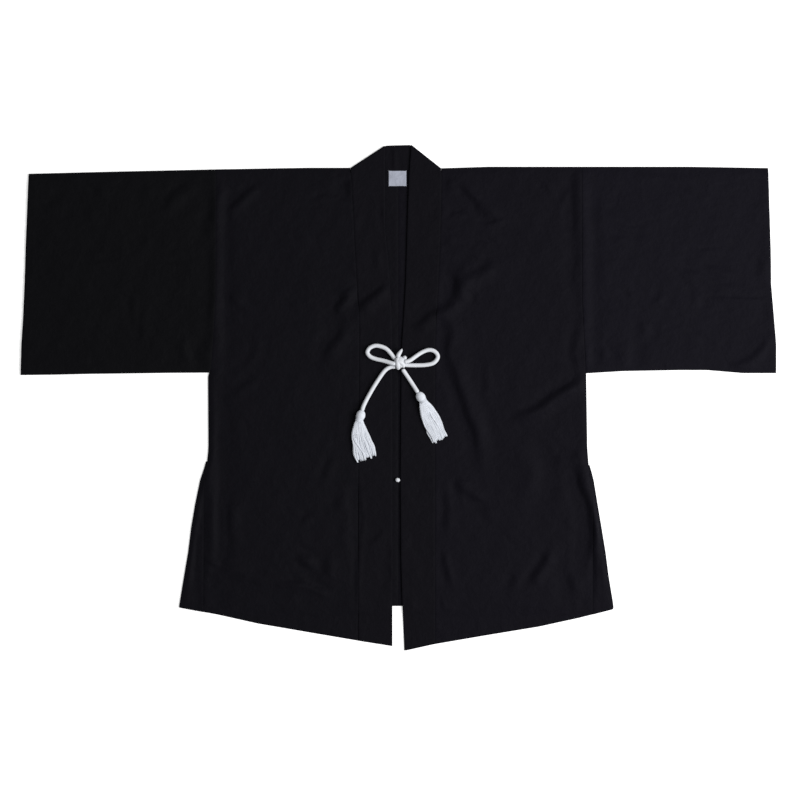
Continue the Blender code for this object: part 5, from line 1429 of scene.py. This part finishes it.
def new_group(name, inputs, outputs):
    """An empty group of shader nodes with its sockets: its tree and its inner ends."""
    tree = bpy.data.node_groups.new(name, "ShaderNodeTree")
    for label, kind, value in inputs:
        socket = tree.interface.new_socket(label, in_out="INPUT", socket_type=kind)
        if value is not None:
            socket.default_value = value
    for label, kind in outputs:
        tree.interface.new_socket(label, in_out="OUTPUT", socket_type=kind)
    return tree, tree.nodes.new("NodeGroupInput"), tree.nodes.new("NodeGroupOutput")


def weave_group():
    """Plain weave on flat places in metres: height |sin(pi u/p) sin(pi v/p)| to a power, and the sign of
    that product tells a warp crossing from a weft one."""
    name = "Plain weave"
    if name in bpy.data.node_groups:
        return bpy.data.node_groups[name]
    tree, start, end = new_group(name, [("Place", "NodeSocketVector", None),
                                        ("Pitch", "NodeSocketFloat", WEAVE_PITCH)],
                                 [("Height", "NodeSocketFloat"), ("Warp", "NodeSocketFloat")])
    place = add_node(tree, "ShaderNodeSeparateXYZ", {0: start.outputs["Place"]})
    turns = calculate(tree, "DIVIDE", math.pi, start.outputs["Pitch"])
    waves = [calculate(tree, "SINE", calculate(tree, "MULTIPLY", place.outputs[axis], turns))
             for axis in (0, 1)]
    product = calculate(tree, "MULTIPLY", *waves)
    height = calculate(tree, "POWER", calculate(tree, "ABSOLUTE", product), WEAVE_POWER)
    feed(tree, end, {"Height": height, "Warp": calculate(tree, "GREATER_THAN", product, 0.0)})
    return tree


def crinkle_group():
    """Soft unevenness of worn cloth: two sizes of noise on the piece's own places, as a height and as a
    mottle from 0 to 1."""
    name = "Crinkle"
    if name in bpy.data.node_groups:
        return bpy.data.node_groups[name]
    tree, start, end = new_group(name, [("Place", "NodeSocketVector", None)],
                                 [("Height", "NodeSocketFloat"), ("Mottle", "NodeSocketFloat")])
    coarse, fine = [
        add_node(tree, "ShaderNodeTexNoise", {"Vector": start.outputs["Place"], "Scale": scale,
                                              "Detail": 3.0, "Roughness": 0.55, "Distortion": 0.4})
        for scale in CRINKLE_SCALES
    ]
    height = calculate(tree, "ADD", calculate(tree, "MULTIPLY", coarse.outputs[0], CRINKLE_COARSE),
                       calculate(tree, "MULTIPLY", fine.outputs[0], 1.0 - CRINKLE_COARSE))
    mottle = add_node(tree, "ShaderNodeMapRange", {"Value": fine.outputs[0], "From Min": 0.3,
                                                   "From Max": 0.7}, interpolation_type="SMOOTHSTEP")
    feed(tree, end, {"Height": height, "Mottle": mottle.outputs[0]})
    return tree


def fibre_group():
    """Fibres of a spun thread: noise drawn out along the thread, on its own flat places, as a height and
    a tone from 0 to 1."""
    name = "Spun fibre"
    if name in bpy.data.node_groups:
        return bpy.data.node_groups[name]
    tree, start, end = new_group(name, [("Place", "NodeSocketVector", None),
                                        ("Round", "NodeSocketFloat", 14.0),
                                        ("Along", "NodeSocketFloat", 260.0),
                                        ("Twist", "NodeSocketFloat", 120.0)],
                                 [("Height", "NodeSocketFloat"), ("Tone", "NodeSocketFloat")])
    place = add_node(tree, "ShaderNodeSeparateXYZ", {0: start.outputs["Place"]})
    along = calculate(tree, "MULTIPLY", place.outputs[1], start.outputs["Twist"])
    turned = calculate(tree, "ADD", place.outputs[0], along)
    lengthwise = calculate(tree, "MULTIPLY", place.outputs[1], start.outputs["Along"])
    spun = add_node(tree, "ShaderNodeCombineXYZ",
                    {0: calculate(tree, "MULTIPLY", turned, start.outputs["Round"]), 1: lengthwise})
    noise = add_node(tree, "ShaderNodeTexNoise", {"Vector": spun.outputs[0], "Scale": 1.0, "Detail": 2.0})
    tone = add_node(tree, "ShaderNodeMapRange", {"Value": noise.outputs[0], "From Min": 0.3,
                                                 "From Max": 0.7})
    feed(tree, end, {"Height": noise.outputs[0], "Tone": tone.outputs[0]})
    return tree


def place_of(tree, group, own_map):
    """A group node fed with the piece's own places: its flat map or its object coordinates."""
    node = add_node(tree, "ShaderNodeGroup", node_tree=group)
    if own_map:
        source = add_node(tree, "ShaderNodeUVMap", uv_map=CUT_MAP).outputs[0]
    else:
        source = add_node(tree, "ShaderNodeTexCoord").outputs["Object"]
    feed(tree, node, {"Place": source})
    return node


def new_look(name):
    made = bpy.data.materials.new(name)
    made.use_nodes = True
    return made, made.node_tree, made.node_tree.nodes["Principled BSDF"]


def tinted(tree, mask, colour, spread_of_tone):
    """The colour made a little darker or paler where a mask from 0 to 1 is low or high."""
    dark, pale = ((*(part * (1.0 + way * spread_of_tone) for part in colour), 1.0) for way in (-1, 1))
    return add_node(tree, "ShaderNodeMix", {"Factor": mask, 6: dark, 7: pale}, data_type="RGBA").outputs[2]


def cloth_look(name, colour, roughness=0.67, specular=0.05, sheen=0.012, pitch=WEAVE_PITCH):
    """Plain-woven cloth: fine weave, soft crinkle, mottled tone and a thin sheen."""
    if name in bpy.data.materials:
        return bpy.data.materials[name]
    made, tree, shader = new_look(name)
    weave = place_of(tree, weave_group(), True)
    feed(tree, weave, {"Pitch": pitch})
    crinkle = place_of(tree, crinkle_group(), False)
    tone = calculate(tree, "ADD", calculate(tree, "MULTIPLY", weave.outputs["Warp"], WARP_TONE),
                     calculate(tree, "MULTIPLY", crinkle.outputs["Mottle"], 1.0 - WARP_TONE))
    soft = add_node(tree, "ShaderNodeBump", {"Height": crinkle.outputs["Height"], "Distance": CRINKLE_DEPTH})
    fine = add_node(tree, "ShaderNodeBump", {"Height": weave.outputs["Height"], "Distance": WEAVE_DEPTH,
                                             "Normal": soft.outputs[0]})
    feed(tree, shader, {"Base Color": tinted(tree, tone, colour, spread_of_tone=0.10),
                        "Normal": fine.outputs[0], "Roughness": roughness, "Specular IOR Level": specular,
                        "Sheen Weight": sheen, "Sheen Roughness": 0.6, "Sheen Tint": (0.80, 0.82, 1.0, 1.0)})
    return made


def thread_look(name, colour, tone=0.05, around=14.0, along=260.0, twist=120.0, silk=1.0):
    """Spun thread: drawn-out fibres in its tone and relief, and a soft silky gloss."""
    if name in bpy.data.materials:
        return bpy.data.materials[name]
    made, tree, shader = new_look(name)
    fibre = place_of(tree, fibre_group(), True)
    feed(tree, fibre, {"Round": around, "Along": along, "Twist": twist})
    bump = add_node(tree, "ShaderNodeBump", {"Height": fibre.outputs["Height"], "Distance": FIBRE_DEPTH})
    feed(tree, shader, {"Base Color": tinted(tree, fibre.outputs["Tone"], colour, tone),
                        "Normal": bump.outputs[0], "Roughness": 0.60, "Specular IOR Level": 0.22 * silk,
                        "Sheen Weight": 0.30 * silk})
    return made


def floor_look(colour, glow):
    """Matt pale paper with a faint grain, a little self-lit so that it stays white under the lamp."""
    made, tree, shader = new_look("Pale floor")
    grain = place_of(tree, crinkle_group(), False)
    feed(tree, shader, {"Base Color": tinted(tree, grain.outputs["Mottle"], colour, spread_of_tone=0.004),
                        "Roughness": 0.9, "Specular IOR Level": 0.0, "Emission Color": (1.0, 1.0, 1.0, 1.0),
                        "Emission Strength": glow})
    return made


def lay_sheet(name, node, grid, half, material, keep=None, ring=False):
    """Make a piece of cloth from its middle surface, with its flat cut in its map of flat places."""
    piece = make_piece(name, [wall(grid, half, keep, ring)], material, (node,))


def cord_name(node):
    """Name of the piece that stands for a stretch of the tie cord."""
    _, kind, side = node.split("_")
    return f"{side}_{kind}_cord"


def coat_sizes():
    return bpy.context.scene.coat_sizes


def coat_colours():
    return bpy.context.scene.coat_colours


class CoatSizes(PropertyGroup):
    """Sizes of the mesh, the view and the light."""

    cell: FloatProperty(name="Cell", description="Side of a cell of the visible cloth",
                        default=0.0036, min=0.0015, max=0.02, unit="LENGTH", precision=4)
    body_cells: IntProperty(name="Body cells", description="Cells across the front of a body panel",
                            default=73, min=10, max=200)
    sleeve_cells: IntProperty(name="Sleeve cells", description="Cells from armhole to cuff",
                              default=96, min=10, max=200)
    view_width: FloatProperty(name="View width", description="Width of what the camera sees on the floor",
                              default=1.4706, min=0.1, max=10.0, unit="LENGTH")
    lens: FloatProperty(name="Lens", description="Focal length of the camera", default=100.0, min=20.0,
                        max=300.0, unit="CAMERA")
    lamp: FloatProperty(name="Lamp", description="Power of the soft lamp", default=220.0, min=0.0, max=2000.0,
                        unit="POWER")
    lamp_side: FloatProperty(name="Lamp side", description="Side of the soft lamp", default=3.00, min=0.05,
                             max=5.0, unit="LENGTH")
    sky: FloatProperty(name="Sky", description="Even light from all round", default=0.30, min=0.0, max=5.0)
    glow: FloatProperty(name="Floor glow", description="Light that the floor gives off", default=0.50,
                        min=0.0, max=5.0)


def colour_property(name, description, value):
    return FloatVectorProperty(name=name, description=description, default=value, min=0.0, max=1.0, size=3,
                               subtype="COLOR")


class CoatColours(PropertyGroup):
    """Base colours of the finishes."""

    # The right-hand body and sleeve are painted lighter and the left-hand ones darker, the sleeves most:
    # painted light and shade of the lamp on the right.
    left_body: colour_property("Left body", "Black cloth of the left body and gusset",
                               (0.0034, 0.0031, 0.0050))
    right_body: colour_property("Right body", "Black cloth of the right body and gusset",
                                (0.0040, 0.0035, 0.0061))
    left_sleeve: colour_property("Left sleeve", "Black cloth of the left sleeve", (0.0026, 0.0026, 0.0034))
    right_sleeve: colour_property("Right sleeve", "Black cloth of the right sleeve",
                                  (0.0045, 0.0040, 0.0071))
    band: colour_property("Band", "Black cloth of the collar band", (0.0030, 0.0026, 0.0045))
    braid: colour_property("Braid", "White braid of the tie cord", (0.68, 0.70, 0.74))
    thread: colour_property("Thread", "White thread of the tassels", (0.68, 0.71, 0.77))
    label: colour_property("Label", "Pale cloth of the label", (0.36, 0.38, 0.45))
    sewing: colour_property("Sewing", "Black sewing thread", (0.0022, 0.0021, 0.0028))
    floor: colour_property("Floor", "Pale floor", (0.90, 0.90, 0.90))


def side_cloth_painted_light(part, side):
    """The black cloth of a sleeve or of the body on one side, in a tone of its own: the right side is painted
    lighter and the left side darker, painted light and shade of the lamp on the right.
    """
    return cloth_look(f"Black cloth, {side} {part}", getattr(coat_colours(), f"{side}_{part}"))


def braid_look():
    return thread_look("White braid", coat_colours().braid, tone=0.045, around=40.0, along=700.0, twist=60.0)


class COAT_OT_stage(Operator):
    """Pale floor, even sky, one soft lamp from the upper right and a camera straight above"""

    bl_idname = "coat.stage"
    bl_label = "Stage"

    def execute(self, context):
        scene, sizes, colours = context.scene, coat_sizes(), coat_colours()
        half = FLOOR_SIZE / 2
        mesh = bpy.data.meshes.new("floor")
        corners = np.array([(-half, -half), (half, -half), (half, half), (-half, half)])
        mesh.from_pydata([(x, y, -FLOOR_DROP) for x, y in corners.tolist()], [], [(0, 1, 2, 3)])
        mesh.materials.append(floor_look(colours.floor, sizes.glow))
        floor = bpy.data.objects.new("floor", mesh)
        scene.collection.objects.link(floor)

        camera = bpy.data.objects.new("camera", bpy.data.cameras.new("camera"))
        camera.data.lens = sizes.lens
        camera.data.sensor_width = SENSOR
        camera.location = (*VIEW_MIDDLE, sizes.view_width * sizes.lens / SENSOR + FLAT_TOP)
        scene.collection.objects.link(camera)
        scene.camera = camera

        lamp = bpy.data.objects.new("lamp", bpy.data.lights.new("lamp", "AREA"))
        lamp.data.energy = sizes.lamp
        lamp.data.size = sizes.lamp_side
        lamp.location = LAMP_PLACE
        lamp.rotation_euler = (Vector(LAMP_AIM) - Vector(LAMP_PLACE)).to_track_quat("-Z", "Y").to_euler()
        scene.collection.objects.link(lamp)

        world = bpy.data.worlds.new("sky")
        world.use_nodes = True
        feed(world.node_tree, world.node_tree.nodes["Background"],
             {"Color": (1.0, 1.0, 1.0, 1.0), "Strength": sizes.sky})
        scene.world = world
        scene.view_settings.view_transform = "Standard"
        return {"FINISHED"}


class COAT_OT_tie_cords(Operator):
    """The four stretches of round white braid between the knot and the tassels"""

    bl_idname = "coat.tie_cords"
    bl_label = "Tie cords"

    def execute(self, context):
        for node, route in ROUTES.items():
            points = smooth_path(route, CORD_RING)
            radii = np.full(len(points), CORD / 2)
            piece = make_piece(cord_name(node), [cord_skin(points, radii)], braid_look(), (node,))
        return {"FINISHED"}


class COAT_OT_knot(Operator):
    """The knot: fat braided turns over a core, with an upright tip and a stub below"""

    bl_idname = "coat.knot"
    bl_label = "Knot"

    def execute(self, context):
        skins = [turned_ball(KNOT_MIDDLE, KNOT_CORE, (0.0, 1.0), KNOT_ROWS, CORD_SIDES, core_relief)]
        for radius, route in KNOT_TURNS:
            points = smooth_path(route, CORD_RING)
            middle = np.minimum(np.arange(len(points)), np.arange(len(points))[::-1]) * CORD_RING
            radii = radius * (KNOT_DIVE + (1.0 - KNOT_DIVE) * ease(middle / radius))
            skins.append(cord_skin(points, radii))
        skins += [cord_skin(*smooth_rows(rows, CORD_RING)) for rows in (KNOT_TIP, KNOT_STUB)]
        make_piece("cord_knot", skins, braid_look(), ("tie_knot",))
        return {"FINISHED"}


class COAT_OT_tassels(Operator):
    """Two tassels: a head of wound thread, a bound neck and a skirt of loose threads"""

    bl_idname = "coat.tassels"
    bl_label = "Tassels"

    def execute(self, context):
        rng = np.random.default_rng(THREAD_SEED)
        look = thread_look("White thread", coat_colours().thread, tone=0.08, around=5.0, along=300.0,
                           twist=160.0)
        for side, facts in TASSELS.items():
            lean = unit(np.array([*facts["lean"], 0.0]))
            middle = np.array([*facts["head"], HEAD_LEVEL])
            skins = [turned_ball(middle, HEAD, facts["lean"], HEAD_ROWS, HEAD_SIDES, head_relief)]
            paths, radii = skirt_threads(side, rng)
            skins.append(tube_skin(tube_rings(paths, radii, THREAD_SIDES), SKIRT_LENGTH))
            skins.append(tube_skin(tube_rings(*strays(side), THREAD_SIDES), SKIRT_LENGTH))
            skins.append(neck_winding(middle, lean))
            made = make_piece(f"{side}_tassel", skins, look, (f"tassel_{side}",))
        return {"FINISHED"}


class COAT_OT_cord_end(Operator):
    """The short white cord end in the front opening"""

    bl_idname = "coat.cord_end"
    bl_label = "Cord end"

    def execute(self, context):
        level = CLOTH + LAYER + END_RADIUS
        share = np.linspace(-0.5, 0.5, round(END_LENGTH / CORD_RING) * 2 + 1)
        points = np.stack([END_MIDDLE[0] + END_LENGTH * share * math.cos(END_TURN),
                           END_MIDDLE[1] + END_LENGTH * share * math.sin(END_TURN),
                           np.full(share.shape, level)], axis=1)
        wide = np.interp(share, *zip(*END_PROFILE))
        skin = cord_skin(points, END_RADIUS * wide)
        make_piece("front_cord_end", [skin], braid_look(), ("cord_end",))
        return {"FINISHED"}


class COAT_OT_body_panels(Operator):
    """Two widths of black cloth from the back hem over the shoulder to the front hem"""

    bl_idname = "coat.body_panels"
    bl_label = "Body panels"

    def execute(self, context):
        for side in SIGN:
            grid, half, keep = body_grid(side)
            lay_sheet(f"{side}_body_panel", f"body_{side}", grid, half, side_cloth_painted_light("body", side),
                      keep=keep)
        return {"FINISHED"}


class COAT_OT_sleeves(Operator):
    """Two straight widths of black cloth folded along the top and closed below"""

    bl_idname = "coat.sleeves"
    bl_label = "Sleeves"

    def execute(self, context):
        for side in SIGN:
            grid, half = sleeve_grid(side)
            lay_sheet(f"{side}_sleeve", f"sleeve_{side}", grid, half, side_cloth_painted_light("sleeve", side),
                      ring=True)
        return {"FINISHED"}


class COAT_OT_gussets(Operator):
    """Two long triangles of black cloth, each folded down its middle"""

    bl_idname = "coat.gussets"
    bl_label = "Gussets"

    def execute(self, context):
        for side in SIGN:
            grid, half = gusset_grid(side)
            lay_sheet(f"{side}_gusset", f"gusset_{side}", grid, half, side_cloth_painted_light("body", side))
        return {"FINISHED"}


class COAT_OT_collar(Operator):
    """One doubled band from the left front hem round the neck to the right front hem"""

    bl_idname = "coat.collar"
    bl_label = "Collar band"

    def execute(self, context):
        grid, half = collar_grid()
        look = cloth_look("Black band cloth", coat_colours().band, roughness=0.70, specular=0.06)
        lay_sheet("collar_band", "collar", grid, half, look)
        return {"FINISHED"}


class COAT_OT_label(Operator):
    """A small bare woven ribbon sewn below the back neck with four white tacks"""

    bl_idname = "coat.label"
    bl_label = "Label"

    def execute(self, context):
        look = cloth_look("Pale label cloth", coat_colours().label, roughness=0.7, specular=0.25, sheen=0.05,
                          pitch=LABEL_PITCH)
        make_piece("woven_label", [label_skin()], look, ("label",))
        starts, ends = label_tacks()
        skin = stitch_skin(starts, ends, TACK_HALF)
        make_piece("label_tacks", [skin], thread_look("White thread", coat_colours().thread))
        return {"FINISHED"}


class COAT_OT_sewing(Operator):
    """Thread in the seams, and short black stitches along the front hems and the cuffs"""

    bl_idname = "coat.sewing"
    bl_label = "Sewing"

    def execute(self, context):
        look = thread_look("Black sewing thread", coat_colours().sewing, tone=0.15, around=4.0, along=900.0,
                           twist=500.0, silk=0.1)
        skins = [stitch_skin(*hem_stitches(side), STITCH_HALF) for side in SIGN]
        skins += [stitch_skin(*cuff_stitches(side), STITCH_HALF) for side in SIGN]
        make_piece("hem_stitches", skins, look)
        make_piece("seam_threads", [seam_thread(path) for path in seam_paths()],
                   side_cloth_painted_light("body", "left"))
        return {"FINISHED"}


OPERATORS = (
    COAT_OT_stage,
    COAT_OT_tie_cords,
    COAT_OT_knot,
    COAT_OT_tassels,
    COAT_OT_cord_end,
    COAT_OT_body_panels,
    COAT_OT_sleeves,
    COAT_OT_gussets,
    COAT_OT_collar,
    COAT_OT_label,
    COAT_OT_sewing,
)


class COAT_PT_pieces(Panel):
    """Pieces of the coat, its sizes and its colours"""

    bl_idname = "COAT_PT_pieces"
    bl_label = "Kimono jacket"
    bl_space_type = "VIEW_3D"
    bl_region_type = "UI"
    bl_category = "Coat"

    def draw(self, context):
        for operator in OPERATORS:
            self.layout.operator(operator.bl_idname)
        for group in (context.scene.coat_sizes, context.scene.coat_colours):
            box = self.layout.box()
            for key in group.__annotations__:
                box.prop(group, key)


CLASSES = (CoatSizes, CoatColours, *OPERATORS, COAT_PT_pieces)


def register():
    for each in CLASSES:
        bpy.utils.register_class(each)
    bpy.types.Scene.coat_sizes = PointerProperty(type=CoatSizes)
    bpy.types.Scene.coat_colours = PointerProperty(type=CoatColours)


def unregister():
    del bpy.types.Scene.coat_colours
    del bpy.types.Scene.coat_sizes
    for each in reversed(CLASSES):
        bpy.utils.unregister_class(each)


def main():
    register()
    bpy.ops.coat.stage()
    bpy.ops.coat.tie_cords()
    bpy.ops.coat.knot()
    bpy.ops.coat.tassels()
    bpy.ops.coat.cord_end()
    bpy.ops.coat.body_panels()
    bpy.ops.coat.sleeves()
    bpy.ops.coat.gussets()
    bpy.ops.coat.collar()
    bpy.ops.coat.label()
    bpy.ops.coat.sewing()
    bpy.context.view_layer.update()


if __name__ == "__main__":
    main()
